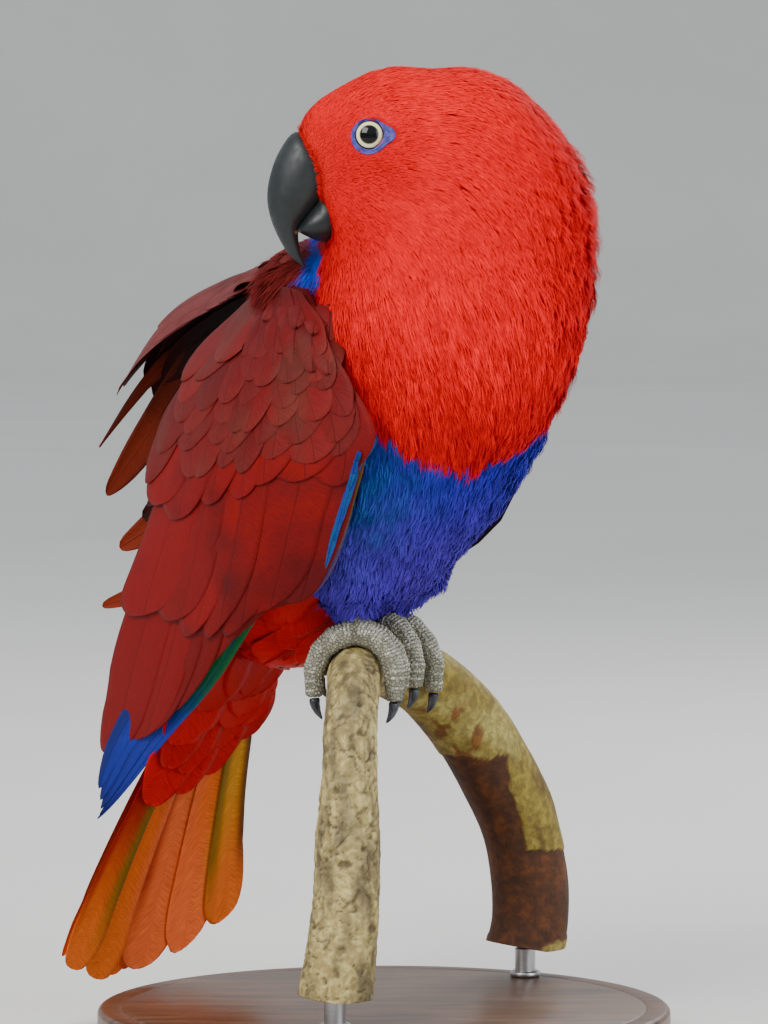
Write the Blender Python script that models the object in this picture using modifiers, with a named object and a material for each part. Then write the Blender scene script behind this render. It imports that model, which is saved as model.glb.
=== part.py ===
# A life-size still model of a female eclectus parrot. It stands on a bent branch and looks back
# over its right shoulder. A plain display stand holds the branch.
# Metres, +Z up. The origin is the middle of the stand's underside. Seen along +Y, the head is in
# profile and the bill points to -X.

import math

import bmesh
import bpy
from mathutils import Matrix, Vector

MM = 0.001
GAP = 0.3 * MM

# Driving dimensions
BASE_RADIUS = 95 * MM
BASE_HEIGHT = 12 * MM
PERCH_TOP = 134 * MM
ROD_RADIUS = 3.5 * MM
PERCH_CUT_HEIGHT = 22 * MM
HEADING = math.radians(35)
EYE_RADIUS = 6.4 * MM
VANE_THICKNESS = 0.6 * MM
TOE_RADIUS = 3.7 * MM

VOXEL = 2.6 * MM
TRIANGLES = {"head": 800, "neck": 520, "torso": 800}

FORWARD = Vector((math.cos(HEADING), -math.sin(HEADING), 0))
LEFT = Vector((math.sin(HEADING), math.cos(HEADING), 0))
UP = Vector((0, 0, 1))

# The head has its own frame: its middle, the way that the bill points, and its left
HEAD_MIDDLE = Vector((5, -22, 156.5)) * MM + UP * PERCH_TOP
BILL_YAW = math.radians(3)
BILL_WAY = Vector((-math.cos(BILL_YAW), -math.sin(BILL_YAW), 0))
HEAD_LEFT = Vector((-BILL_WAY.y, BILL_WAY.x, 0))


def bird(forward, left, up):
    """A point of the body, in millimetres from the top of the perch between the feet."""
    return (FORWARD * forward + LEFT * left + UP * up) * MM + UP * PERCH_TOP


def head(forward, left, up):
    """A point of the head, in millimetres from the head's middle."""
    return HEAD_MIDDLE + (BILL_WAY * forward + HEAD_LEFT * left + UP * up) * MM


def clear_scene():
    for old in list(bpy.data.objects):
        bpy.data.objects.remove(old)


def finish(name, colour, roughness, metallic=0.0):
    made = bpy.data.materials.new(name)
    made.use_nodes = True
    shader = made.node_tree.nodes["Principled BSDF"]
    shader.inputs["Base Color"].default_value = (*colour, 1)
    shader.inputs["Roughness"].default_value = roughness
    shader.inputs["Metallic"].default_value = metallic
    return made


def link(obj):
    PARTS.objects.link(obj)
    return obj


def mesh_object(name, points, faces):
    mesh = bpy.data.meshes.new(name)
    mesh.from_pydata(points, [], faces)
    turned = bmesh.new()
    turned.from_mesh(mesh)
    bmesh.ops.recalc_face_normals(turned, faces=turned.faces)
    turned.to_mesh(mesh)
    turned.free()
    return link(bpy.data.objects.new(name, mesh))


def baked(obj, name):
    """The object's evaluated mesh as a new object in its place."""
    bpy.context.view_layer.update()
    graph = bpy.context.evaluated_depsgraph_get()
    mesh = bpy.data.meshes.new_from_object(obj.evaluated_get(graph))
    mesh.transform(obj.matrix_world)
    bpy.data.objects.remove(obj)
    return link(bpy.data.objects.new(name, mesh))


def largest_body(obj):
    """Keeps the largest closed surface of a mesh, and drops what isn't joined to it."""
    whole = bmesh.new()
    whole.from_mesh(obj.data)
    left, bodies = set(whole.verts), []
    while left:
        body, front = set(), [left.pop()]
        while front:
            vert = front.pop()
            body.add(vert)
            near = {edge.other_vert(vert) for edge in vert.link_edges} & left
            left -= near
            front.extend(near)
        bodies.append(body)

    def spread(body):
        rows = list(zip(*(vert.co for vert in body)))
        return math.prod(max(row) - min(row) for row in rows)

    kept = max(bodies, key=spread)
    bmesh.ops.delete(whole, geom=[v for v in whole.verts if v not in kept], context="VERTS")
    bmesh.ops.triangulate(whole, faces=whole.faces)
    whole.to_mesh(obj.data)
    whole.free()
    return obj


def fused(name, pieces, solver="EXACT"):
    """One closed body from overlapping pieces."""
    first, *others = pieces
    if others:
        group = bpy.data.collections.new(name + "_pieces")
        bpy.context.scene.collection.children.link(group)
        for piece in others:
            PARTS.objects.unlink(piece)
            group.objects.link(piece)
        join = first.modifiers.new("Join", "BOOLEAN")
        join.operation = "UNION"
        join.solver = solver
        join.operand_type = "COLLECTION"
        join.collection = group
    made = baked(first, name)
    if others:
        for piece in others:
            bpy.data.objects.remove(piece)
        bpy.data.collections.remove(group)
    return largest_body(made)


def grown(obj, gap=GAP):
    """A copy of the object's mesh, larger by the gap all round."""
    copy = link(bpy.data.objects.new(obj.name + "_grown", obj.data.copy()))
    copy.matrix_world = obj.matrix_world
    larger = copy.modifiers.new("Grow", "DISPLACE")
    larger.strength = gap
    larger.mid_level = 0
    return baked(copy, obj.name + "_cutter")


def cut_clear(obj, neighbour, gap=GAP, solver="EXACT"):
    """Cuts the object back from its neighbour, with the gap between them."""
    name = obj.name
    cutter = grown(neighbour, gap)
    cut = obj.modifiers.new("Clear", "BOOLEAN")
    cut.operation = "DIFFERENCE"
    cut.solver = solver
    cut.object = cutter
    obj.name = name + "_uncut"
    made = baked(obj, name)
    bpy.data.objects.remove(cutter)
    return largest_body(made)


def thinned(obj, triangles):
    """Fewer triangles, for a dense closed mesh."""
    name = obj.name
    now = sum(len(face.vertices) - 2 for face in obj.data.polygons)
    fewer = obj.modifiers.new("Fewer", "DECIMATE")
    fewer.ratio = min(1, triangles / now)
    obj.name = name + "_dense"
    return baked(obj, name)


def half_space(obj, name, point, normal):
    """A copy of the object behind a plane, closed there."""
    whole = bmesh.new()
    whole.from_mesh(obj.data)
    geometry = whole.verts[:] + whole.edges[:] + whole.faces[:]
    bmesh.ops.bisect_plane(
        whole, geom=geometry, plane_co=point, plane_no=normal, clear_outer=True
    )
    rim = [edge for edge in whole.edges if edge.is_boundary]
    bmesh.ops.edgeloop_fill(whole, edges=rim)
    bmesh.ops.recalc_face_normals(whole, faces=whole.faces)
    mesh = bpy.data.meshes.new(name)
    whole.to_mesh(mesh)
    whole.free()
    return link(bpy.data.objects.new(name, mesh))


def along(points, share):
    """A point at a share, 0 to 1, of a smooth curve through the points."""
    place = min(max(share, 0), 1) * (len(points) - 1)
    first = min(int(place), len(points) - 2)
    t = place - first
    a = points[max(first - 1, 0)]
    b = points[first]
    c = points[first + 1]
    d = points[min(first + 2, len(points) - 1)]
    return (
        b * 2 + (c - a) * t + (a * 2 - b * 5 + c * 4 - d) * t**2 + (b * 3 - a - c * 3 + d) * t**3
    ) * 0.5


def tube(name, points, radii, resolution=2, steps=None):
    """A closed round tube along a smooth curve, with a radius for each of the points."""
    count = steps or len(points)
    sizes = [Vector((radius, 0, 0)) for radius in radii]
    curve = bpy.data.curves.new(name, "CURVE")
    curve.dimensions = "3D"
    curve.bevel_depth = 1
    curve.bevel_resolution = resolution
    curve.use_fill_caps = True
    line = curve.splines.new("POLY")
    line.points.add(count - 1)
    for number, point in enumerate(line.points):
        share = number / (count - 1)
        point.co = (*along(points, share), 1)
        point.radius = along(sizes, share).x
    made = baked(link(bpy.data.objects.new(name + "_curve", curve)), name)
    welded = bmesh.new()
    welded.from_mesh(made.data)
    bmesh.ops.remove_doubles(welded, verts=welded.verts, dist=1e-6)
    bmesh.ops.recalc_face_normals(welded, faces=welded.faces)
    welded.to_mesh(made.data)
    welded.free()
    return made


def loft(name, rings):
    """A closed skin over rings of equally many points, with a middle point in each end."""
    count = len(rings[0])
    points = [point for ring in rings for point in ring]
    faces = []
    for row in range(len(rings) - 1):
        for k in range(count):
            a, b = row * count + k, row * count + (k + 1) % count
            faces.append((a, b, b + count, a + count))
    for row, ring in ((0, rings[0]), (len(rings) - 1, rings[-1])):
        points.append(sum(ring, Vector()) / count)
        middle = len(points) - 1
        for k in range(count):
            faces.append((row * count + k, row * count + (k + 1) % count, middle))
    return mesh_object(name, points, faces)


def ellipsoid(name, middle, radii, axes=(Vector((1, 0, 0)), Vector((0, 1, 0)), UP), sides=32):
    bpy.ops.mesh.primitive_uv_sphere_add(segments=sides, ring_count=sides // 2, radius=1)
    made = bpy.context.object
    bpy.context.collection.objects.unlink(made)
    link(made)
    made.name = name
    columns = [axis * radius for axis, radius in zip(axes, radii)]
    made.data.transform(Matrix.Translation(middle) @ Matrix(columns).transposed().to_4x4())
    return made


def ball_like(name, middle, radii, sides):
    """An ellipsoid along the bird's own axes, in millimetres."""
    return ellipsoid(name, bird(*middle), [r * MM for r in radii], (FORWARD, LEFT, UP), sides)


# Torso stations from the vent to the base of the neck, in millimetres: forward, up, half width,
# depth of the belly side and depth of the back side
TORSO = [
    (-62, -8, 8, 6, 6),
    (-52, 4, 20, 17, 16),
    (-35, 21, 30, 30, 25),
    (-15, 41, 39, 39, 35),
    (2, 63, 45, 43, 42),
    (15, 86, 48, 46, 44),
    (22, 106, 47, 43, 44),
    (25, 124, 42, 36, 38),
    (26, 140, 30, 22, 24),
]


def torso_skin():
    rings = []
    sides = 32
    for number, (forward, up, half, front, back) in enumerate(TORSO):
        before = TORSO[max(number - 1, 0)]
        after = TORSO[min(number + 1, len(TORSO) - 1)]
        rise = Vector((after[0] - before[0], after[1] - before[1])).normalized()
        ring = []
        for k in range(sides):
            turn = 2 * math.pi * k / sides
            depth = (front if math.cos(turn) > 0 else back) * math.cos(turn)
            ring.append(
                bird(forward + rise.y * depth, half * math.sin(turn), up - rise.x * depth)
            )
        rings.append(ring)
    return loft("torso_skin", rings)


def flesh():
    """Torso, neck and head as one smooth closed skin, without bill, eyes, wings and legs."""
    world = (Vector((1, 0, 0)), Vector((0, 1, 0)), UP)
    head_axes = (BILL_WAY, HEAD_LEFT, UP)
    pieces = [
        torso_skin(),
        ellipsoid("neck_mass", Vector((26, -17, 130)) * MM + UP * PERCH_TOP,
                  [43.5 * MM, 39 * MM, 57 * MM], world),
        ellipsoid("bib_mass", Vector((28, -24, 104)) * MM + UP * PERCH_TOP,
                  [36 * MM, 38 * MM, 47 * MM], world),
        ellipsoid("skull", head(-1, 0, 3), [32 * MM, 26 * MM, 30 * MM], head_axes),
        ellipsoid("forehead", head(11, 0, 8), [23.5 * MM, 17 * MM, 19 * MM], head_axes),
        ellipsoid("crown", head(-18, 0, 6), [32 * MM, 28 * MM, 27 * MM], head_axes),
        ellipsoid("throat", head(3, 0, -32), [23 * MM, 21 * MM, 22 * MM], head_axes),
        ball_like("mantle", (-15, 0, 112), (31, 36, 22), 24),
        ball_like("vent", (-40, 0, 3), (20, 21, 15), 24),
    ]
    for side in (-1, 1):
        pieces.append(
            ellipsoid("cheek", head(1, side * 8, -12), [24 * MM, 18 * MM, 25 * MM], head_axes)
        )
    joined = mesh_object("flesh_pieces", [], [])
    gathered = bmesh.new()
    for piece in pieces:
        gathered.from_mesh(piece.data)
        bpy.data.objects.remove(piece)
    gathered.to_mesh(joined.data)
    gathered.free()
    skin = joined.modifiers.new("Skin", "REMESH")
    skin.mode = "VOXEL"
    skin.voxel_size = VOXEL
    soft = joined.modifiers.new("Soft", "SMOOTH")
    soft.factor = 0.6
    soft.iterations = 14
    return baked(joined, "flesh")


# The lower edge of the neck and bib in the bird's frame, in millimetres: forward and up, from the
# breast back to the mantle, which stays with the torso
BIB_EDGE = [(150, -13), (-17, 115), (-17, 137), (-150, 137)]


def above_bib(name, offset):
    """A block that holds all above the bib's edge, moved up by an offset in millimetres."""
    outline = [(f - offset * (f < 0), u + offset) for f, u in BIB_EDGE]
    outline += [(-150, 300), (150, 300)]
    rings = [[bird(f, across, u) for f, u in outline] for across in (-120, 120)]
    count = len(outline)
    faces = [(k, (k + 1) % count, count + (k + 1) % count, count + k) for k in range(count)]
    faces += [tuple(range(count)), tuple(range(count, 2 * count))]
    return mesh_object(name, rings[0] + rings[1], faces)


def carved(whole, name, block, operation):
    part = link(bpy.data.objects.new(name, whole.data.copy()))
    carve = part.modifiers.new("Carve", "BOOLEAN")
    carve.operation = operation
    carve.solver = "MANIFOLD"
    carve.object = block
    made = baked(part, name)
    bpy.data.objects.remove(block)
    return largest_body(made)


def head_neck_torso():
    """The flesh parted by two thin cuts: behind the cheeks, and along the edge of the bib."""
    whole = flesh()
    half = GAP / MM / 2
    torso = carved(whole, "torso", above_bib("low_block", -half), "DIFFERENCE")
    top = carved(whole, "top", above_bib("high_block", half), "INTERSECT")
    nape = head(-34, 0, 24)
    throat = head(19, 0, -39)
    normal = (throat - nape).cross(HEAD_LEFT).normalized()
    if normal.dot(head(0, 0, 0) - nape) < 0:
        normal = -normal
    head_part = half_space(top, "head", nape + normal * GAP / 2, -normal)
    neck = half_space(top, "neck", nape - normal * GAP / 2, normal)
    for spare in (whole, top):
        bpy.data.objects.remove(spare)
    head_part, neck, torso = (
        largest_body(thinned(part, TRIANGLES[part.name])) for part in (head_part, neck, torso)
    )
    torso = cut_clear(torso, neck, solver="MANIFOLD")
    return cut_clear(head_part, torso, solver="MANIFOLD"), neck, torso


# Side view of the bill in the head's frame, in millimetres: a point on the ridge, the point
# across from it on the cutting edge, and the half width there
UPPER_BILL = [
    ((25.5, 7.0), (19.5, -11.0), 8.8),
    ((33.6, 10.6), (24.6, -11.6), 9.4),
    ((39.1, 4.2), (25.5, -12.6), 9.2),
    ((42.0, -3.4), (27.4, -14.8), 8.6),
    ((43.0, -9.9), (30.0, -18.0), 7.6),
    ((42.4, -15.5), (32.4, -20.7), 6.4),
    ((40.6, -21.0), (32.9, -23.4), 4.8),
    ((37.8, -26.5), (32.4, -27.2), 3.2),
    ((34.9, -30.4), (31.4, -30.6), 1.8),
    ((31.0, -33.4), (30.6, -33.4), 0.5),
]
LOWER_BILL = [
    ((18.0, -12.0), (15.0, -24.0), 7.8),
    ((24.4, -12.6), (20.3, -24.6), 8.4),
    ((26.4, -14.9), (23.5, -25.0), 8.3),
    ((28.8, -17.0), (26.8, -24.4), 7.6),
    ((31.0, -19.0), (30.0, -22.9), 6.2),
    ((33.0, -20.8), (32.8, -21.5), 3.6),
]


def horn(name, stations, sides, ridge):
    """A bill half: ovals across its side view, with a ridge that narrows its outer edge."""
    rings = []
    for (of, ou), (inf, inu), half in stations:
        ring = []
        for k in range(sides):
            turn = 2 * math.pi * k / sides
            share = (1 - math.cos(turn)) / 2
            width = half * math.sin(turn) * (1 - ridge * (1 - share))
            ring.append(head(of + (inf - of) * share, width, ou + (inu - ou) * share))
        rings.append(ring)
    return loft(name, rings)


def bill():
    upper = horn("upper_bill", UPPER_BILL, 14, 0.18)
    lower = cut_clear(horn("lower_bill", LOWER_BILL, 14, 0.0), upper)
    for side, name in ((1, "left"), (-1, "right")):
        pit = ellipsoid("nostril_" + name, head(32.6, side * 5.2, 8.6), [1.4 * MM] * 3, sides=8)
        upper = cut_clear(upper, pit, 0)
        bpy.data.objects.remove(pit)
    return upper, lower


EYE_PLACE = (10.2, 17.4, 9.0)
LID_RADIUS = 4.9 * MM
LID_WIRE = 1.3 * MM


def eye(skull, side, name):
    """An eyeball in its socket, with a ring of lids on the head round it."""
    forward, across, up = EYE_PLACE
    middle = head(forward, side * across, up)
    outward = (HEAD_LEFT * side + BILL_WAY * 0.14 + UP * 0.1).normalized()
    ball = ellipsoid("eye_" + name, middle, [EYE_RADIUS] * 3, sides=12)
    reach = math.sqrt(EYE_RADIUS**2 - LID_RADIUS**2)
    bpy.ops.mesh.primitive_torus_add(
        major_segments=14, minor_segments=4, major_radius=LID_RADIUS, minor_radius=LID_WIRE
    )
    lids = bpy.context.object
    bpy.context.collection.objects.unlink(lids)
    link(lids)
    turn = outward.to_track_quat("Z", "Y").to_matrix().to_4x4()
    lids.data.transform(Matrix.Translation(middle + outward * reach) @ turn)
    skull = fused("head", [skull, lids], "MANIFOLD")
    return cut_clear(skull, ball, solver="MANIFOLD"), ball


# Guide lines of a folded wing, from the shoulder to the feather tips, in the bird's frame in
# millimetres. The first runs along the wing's front edge and the last along its back edge.
RIGHT_WING = [
    [(-3, -38, 116), (19, -50, 93), (29, -52, 70), (21, -50, 45), (5, -44, 17)],
    [(-14, -32, 117), (-5, -49, 87), (-6, -55, 58), (-13, -53, 30), (-24, -44, 4)],
    [(-26, -22, 116), (-31, -42, 86), (-37, -49, 50), (-49, -42, 10), (-68, -30, -30)],
    [(-40, -12, 114), (-65, -22, 83), (-80, -28, 42), (-97, -25, 0), (-109, -16, -44)],
]
LEFT_WING = [
    [(7, 41, 112), (23, 53, 83), (19, 54, 51), (-48, 46, 22), (-136, 24, 0)],
    [(-8, 36, 122), (-12, 52, 100), (-46, 53, 74), (-92, 42, 52), (-138, 23, 26)],
    [(-22, 22, 124), (-48, 29, 123), (-78, 30, 116), (-108, 26, 98), (-133, 16, 56)],
    [(-36, 8, 121), (-58, 5, 114), (-79, 3, 105), (-98, 5, 95), (-116, 8, 80)],
]
# The strips that the primaries follow, from the wrist to the wing tip
RIGHT_HAND = [
    [(22, -47, 60), (8, -46, 32), (-20, -42, 12), (-48, -34, -12), (-74, -27, -36),
     (-110, -15, -69)],
    [(10, -50, 60), (-12, -49, 35), (-38, -43, 10), (-62, -34, -14), (-86, -25, -40),
     (-111, -14, -68)],
    [(2, -52, 60), (-26, -48, 38), (-54, -41, 12), (-76, -32, -12), (-97, -22, -38),
     (-112, -13, -67)],
]
LEFT_HAND = [
    [(24, 50, 60), (10, 51, 36), (-20, 48, 18), (-50, 40, 4), (-80, 32, -8), (-112, 22, -22)],
    [(12, 53, 60), (-12, 52, 42), (-42, 46, 28), (-68, 38, 14), (-92, 30, 0), (-114, 21, -20)],
    [(2, 54, 62), (-28, 50, 50), (-58, 44, 38), (-82, 36, 22), (-102, 26, 4), (-115, 20, -17)],
]


class Sheet:
    """A smooth surface through guide lines, with u across them, v along them and a height."""

    def __init__(self, lines, side):
        self.lines = [[bird(*point) for point in line] for line in lines]
        self.side = side

    def flat(self, u, v):
        across = [along(line, v) for line in self.lines]
        inside = along(across, u)
        if u < 0:
            return inside + (along(across, 0.02) - across[0]) * (u / 0.02)
        if u > 1:
            return inside + (across[-1] - along(across, 0.98)) * ((u - 1) / 0.02)
        return inside

    def normal(self, u, v):
        step = 0.01
        low, high = max(v - step, 0), min(v + step, 1)
        run = self.flat(u, high) - self.flat(u, low)
        width = self.flat(u + step, v) - self.flat(u - step, v)
        return (width.cross(run) * self.side).normalized()

    def at(self, u, v, height):
        return self.flat(u, v) + self.normal(u, v) * height


# Outlines of a vane: shares of its length with shares of its half width
LONG_VANE = ((0, 0.6), (0.5, 1), (0.92, 0.88), (1, 0.35))
COVERT_VANE = ((0, 0.7), (0.5, 1), (0.9, 0.9), (1, 0.45))
SCALE_VANE = ((0, 0.8), (0.7, 1), (1, 0.45))


# Each vane is wider than its place in its row, and its outer edge lies this much deeper over one
# place, so that it lies on the next vane without cutting into it
OVERLAP = {"scale": 1.27, "flight": 1.6, "tail": 1.9}
LEAN = 0.5 * MM


def vane(sheet, outline, start, end, half_width, lift, lean, camber=0.15 * MM):
    """A feather on a sheet. start and end are (u, v), and lift is its height there in mm."""
    top, bottom = [], []
    for share, width in outline:
        u = start[0] + (end[0] - start[0]) * share
        v = start[1] + (end[1] - start[1]) * share
        height = (lift[0] + (lift[1] - lift[0]) * share) * MM
        for side in (-1, 0, 1):
            bent = height + lean * side * width + (camber if side == 0 else 0)
            place = (u + side * width * half_width, v)
            top.append(sheet.at(*place, bent + VANE_THICKNESS / 2))
            bottom.append(sheet.at(*place, bent - VANE_THICKNESS / 2))
    rows, below = len(outline), len(top)
    faces = []
    for row in range(rows - 1):
        for column in range(2):
            a = row * 3 + column
            b, c, d = a + 1, a + 4, a + 3
            faces += [(a, b, c), (a, c, d)]
            faces += [(below + a, below + c, below + b), (below + a, below + d, below + c)]
        for column in (0, 2):
            a, b = row * 3 + column, row * 3 + 3 + column
            faces += [(a, b, below + b), (a, below + b, below + a)]
    for row in (0, rows - 1):
        for column in range(2):
            a = row * 3 + column
            faces += [(a, a + 1, below + a + 1), (a, below + a + 1, below + a)]
    return mesh_object("vane", top + bottom, faces)


def wing_core(sheet, across, length, top, bottom, cells=5):
    """The wing's own flesh under the coverts: a lens on the sheet with a full front edge."""
    upper, lower = [], []
    for row in range(cells + 1):
        for column in range(cells + 1):
            a, b = column / cells, row / cells
            u = across[0] + (across[1] - across[0]) * a
            v = length[0] + (length[1] - length[0]) * b
            shoulder = min(1, 0.4 + 3 * b)
            edge = min(a, 1 - a)
            upper.append(sheet.at(u, v, top * min(1, 0.25 + 2.2 * edge) * shoulder * (1 - 0.72 * b)))
            lower.append(sheet.at(u, v, bottom * min(1, 0.5 + 4 * edge) * shoulder * (1 - 0.4 * b)))
    side = cells + 1
    count = side * side
    faces = []
    for row in range(cells):
        for column in range(cells):
            a = row * side + column
            b, c, d = a + 1, a + side + 1, a + side
            faces += [(a, b, c), (a, c, d)]
            faces += [(count + a, count + c, count + b), (count + a, count + d, count + c)]
    rim = list(range(side))
    rim += [row * side + cells for row in range(1, side)]
    rim += [cells * side + column for column in range(cells - 1, -1, -1)]
    rim += [row * side for row in range(cells - 1, 0, -1)]
    for a, b in zip(rim, rim[1:] + rim[:1]):
        faces += [(a, b, count + b), (a, count + b, count + a)]
    return mesh_object("wing_core", upper + lower, faces)


# Tiers of a wing from the shoulder down. For each: its outline and kind, how many feathers, the
# share of the wing's length at which they start, where they end at each of the four guide lines,
# and the heights of their roots and tips over the sheet in millimetres
TIERS = [
    (SCALE_VANE, "scale", 6, 0.03, (0.19, 0.18, 0.17, 0.16), (2.2, 5.6)),
    (SCALE_VANE, "scale", 6, 0.1, (0.35, 0.32, 0.31, 0.29), (1.8, 5.2)),
    (SCALE_VANE, "scale", 7, 0.2, (0.49, 0.43, 0.42, 0.4), (1.2, 4.6)),
    (COVERT_VANE, "scale", 7, 0.28, (0.63, 0.53, 0.53, 0.5), (0.3, 3.7)),
    (COVERT_VANE, "flight", 7, 0.4, (1.0, 0.98, 0.78, 0.7), (0.4, 2.4)),
    (LONG_VANE, "flight", 8, 0.42, (0.96, 0.98, 1.0, 1.0), (-1.6, 0.2)),
]
PRIMARIES = 6
# The primaries are rooted in the wing's flesh at this share of its length, at these of its width
HAND_ROOT = 0.34
HAND_ACROSS = (0.12, 0.26, 0.4)


def tier_end(ends, u):
    place = min(max(u, 0), 1) * 3
    first = min(int(place), 2)
    return ends[first] + (ends[first + 1] - ends[first]) * (place - first)


def wing(lines, hand, side, name):
    """A folded wing: flesh, tiers of coverts, secondaries with tertials, and primaries."""
    sheet = Sheet(lines, side)
    pieces = [wing_core(sheet, (0.02, 0.93), (0.03, 0.52), 6 * MM, -6.5 * MM)]
    for outline, kind, count, start, ends, lift in TIERS:
        wide = OVERLAP[kind]
        for number in range(count):
            u = (number + 0.5) / count
            begin = (0.04 + 0.9 * u, start)
            pieces.append(
                vane(sheet, outline, begin, (u, tier_end(ends, u)), wide / 2 / count, lift,
                     -LEAN * wide)
            )
    strip = Sheet(hand, side)
    for line, u in zip(strip.lines, HAND_ACROSS):
        line.insert(0, sheet.at(u, HAND_ROOT, -2.6 * MM))
    wide = OVERLAP["flight"]
    for number in range(PRIMARIES):
        share = (number + 0.5) / PRIMARIES
        start = (0.1 + 0.8 * share, 0.02)
        end = (share, 1 - 0.23 * share)
        pieces.append(
            vane(strip, LONG_VANE, start, end, wide / 2 / PRIMARIES, (0, -3.6), -LEAN * wide)
        )
    return fused(name, pieces, "MANIFOLD")


# The tail hangs in the bird's frame from its root to these tips, in millimetres. It is rolled,
# so that the left side is higher.
TAIL_ROOT = Vector((-58, 0, 2))
TAIL_ROOT_HALF = 15
TAIL_TIPS = {-1: (-112, -34, -112), 0: (-103, 0, -120), 1: (-85, 34, -97)}
RECTRICES = 12


def tail_tip(across):
    left, middle, right = (Vector(TAIL_TIPS[side]) for side in (-1, 0, 1))
    return middle + (right - left) * (across / 2) + (left + right - middle * 2) * (across**2 / 2)


def tail_line(across):
    """Points from the root to the tip of the tail feather at a share across, -1 to 1."""
    start = TAIL_ROOT + Vector((0, TAIL_ROOT_HALF * across, 0))
    tip = tail_tip(across)
    points = []
    for share in (0, 0.35, 0.7, 1):
        bow = Vector((-0.93, 0, 0.35)) * (14 * share * (1 - share))
        points.append(tuple(start + (tip - start) * share + bow))
    return points


# Coverts on the tail's upper side (positive height) and under it, in tiers: how many, how far
# they reach on the right and on the left, and the heights of their roots and tips
TAIL_COVERTS = [
    (4, (0.3, 0.3), (3.6, 5.4)),
    (5, (0.66, 0.46), (-3.2, -5.4)),
    (5, (0.42, 0.32), (-6.0, -8.6)),
]
RECTRIX_STEP = 1.0


def tail():
    """Twelve tail feathers and the coverts over and under their roots, on a small core."""
    pieces = [
        tube("tail_core", [bird(*point) for point in
             ((-48, 0, 12), (-59, 0, 0), (-67, 0, -15), (-74, 0, -30))],
             [14 * MM, 13 * MM, 8 * MM, 3 * MM], 2, 6),
    ]
    sheet = Sheet([tail_line(across) for across in (-1, -0.33, 0.33, 1)], 1)
    for number in range(RECTRICES):
        share = (number + 0.5) / RECTRICES
        lift = 3.0 - RECTRIX_STEP * abs(number - RECTRICES // 2)
        pieces.append(
            vane(sheet, LONG_VANE, (0.1 + 0.8 * share, 0.02), (share, 1),
                 OVERLAP["tail"] / 2 / RECTRICES, (lift, lift), 0)
        )
    for count, reach, lift in TAIL_COVERTS:
        for number in range(count):
            share = (number + 0.5) / count
            end = (share, reach[0] + (reach[1] - reach[0]) * share)
            wide = OVERLAP["scale"]
            pieces.append(
                vane(sheet, SCALE_VANE, (0.1 + 0.8 * share, 0.02), end, wide / 2 / count, lift,
                     LEAN * wide)
            )
    return fused("tail", pieces)


# The bent branch: its middle line in world millimetres from the stand's underside, with radii
PERCH_LINE = [
    ((-15.8, -52, 22), 12.5), ((-13.5, -52, 39.7), 11.7), ((-12.2, -51, 54.5), 11.0),
    ((-11.7, -50, 71.9), 10.9), ((-11.1, -48, 90.7), 9.5), ((-11.0, -44, 105.5), 9.1),
    ((-10.2, -35, 117.5), 8.9), ((-9.6, -22, 123.6), 9.2), ((-7.0, -6, 124.8), 9.6),
    ((-3.0, 8, 124.6), 10.2), ((4.0, 21, 122.5), 11.3), ((16.0, 34, 115.0), 12.5),
    ((29.5, 49, 98.8), 13.6), ((42.4, 62, 74.8), 14.0), ((47.3, 66, 60.6), 13.7),
    ((50.0, 68, 45.2), 14.0), ((50.2, 68, 32.0), 13.9), ((48.5, 67, 22.0), 14.0),
]


def perch():
    points = [Vector(point) * MM for point, _ in PERCH_LINE]
    radii = [radius * MM for _, radius in PERCH_LINE]
    whole = tube("perch", points, radii, 4, 30)
    for vert in whole.data.vertices:
        if vert.co.z < PERCH_CUT_HEIGHT + 3 * MM:
            vert.co.z = PERCH_CUT_HEIGHT
    return thinned(whole, 500)


def perch_middle(share):
    return along([Vector(point) * MM for point, _ in PERCH_LINE], share)


# Where each foot holds the branch, as a share of the branch's line
FOOT_SHARE = {"right": 0.43, "left": 0.565}
# Toes: name, the way round the branch (1 forward, -1 back), where it starts and ends along the
# branch from the foot's middle in millimetres, how far round it reaches and its length down
TOES = [
    ("outer_front", 1, -3.0, -6.0, 88, 9.0),
    ("inner_front", 1, 3.6, 7.0, 86, 7.0),
    ("outer_back", -1, -3.4, -5.0, 84, 9.0),
    ("inner_back", -1, 3.2, 6.0, 80, 4.0),
]


def foot_frame(side):
    share = FOOT_SHARE[side]
    middle = perch_middle(share)
    way = (perch_middle(share + 0.03) - perch_middle(share - 0.03)).normalized()
    flat = Vector((way.x, way.y, 0)).normalized()
    forward = Vector((flat.y, -flat.x, 0))
    radius = along([Vector((r * MM, 0, 0)) for _, r in PERCH_LINE], share).x
    return middle, flat, forward, radius


def toe_point(side, toe, turn, down=0.0):
    """A point of a toe's middle line, at a turn round the branch from its top in degrees."""
    middle, flat, forward, radius = foot_frame(side)
    _, way, start, end, reach, _ = toe
    out = -1 if side == "right" else 1
    spread = (start + (end - start) * turn / reach) * MM * -out
    ring = radius + TOE_RADIUS + GAP
    angle = math.radians(turn)
    return (
        middle
        + flat * spread
        + forward * (way * ring * math.sin(angle))
        + UP * (ring * math.cos(angle) - down)
    )


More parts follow.
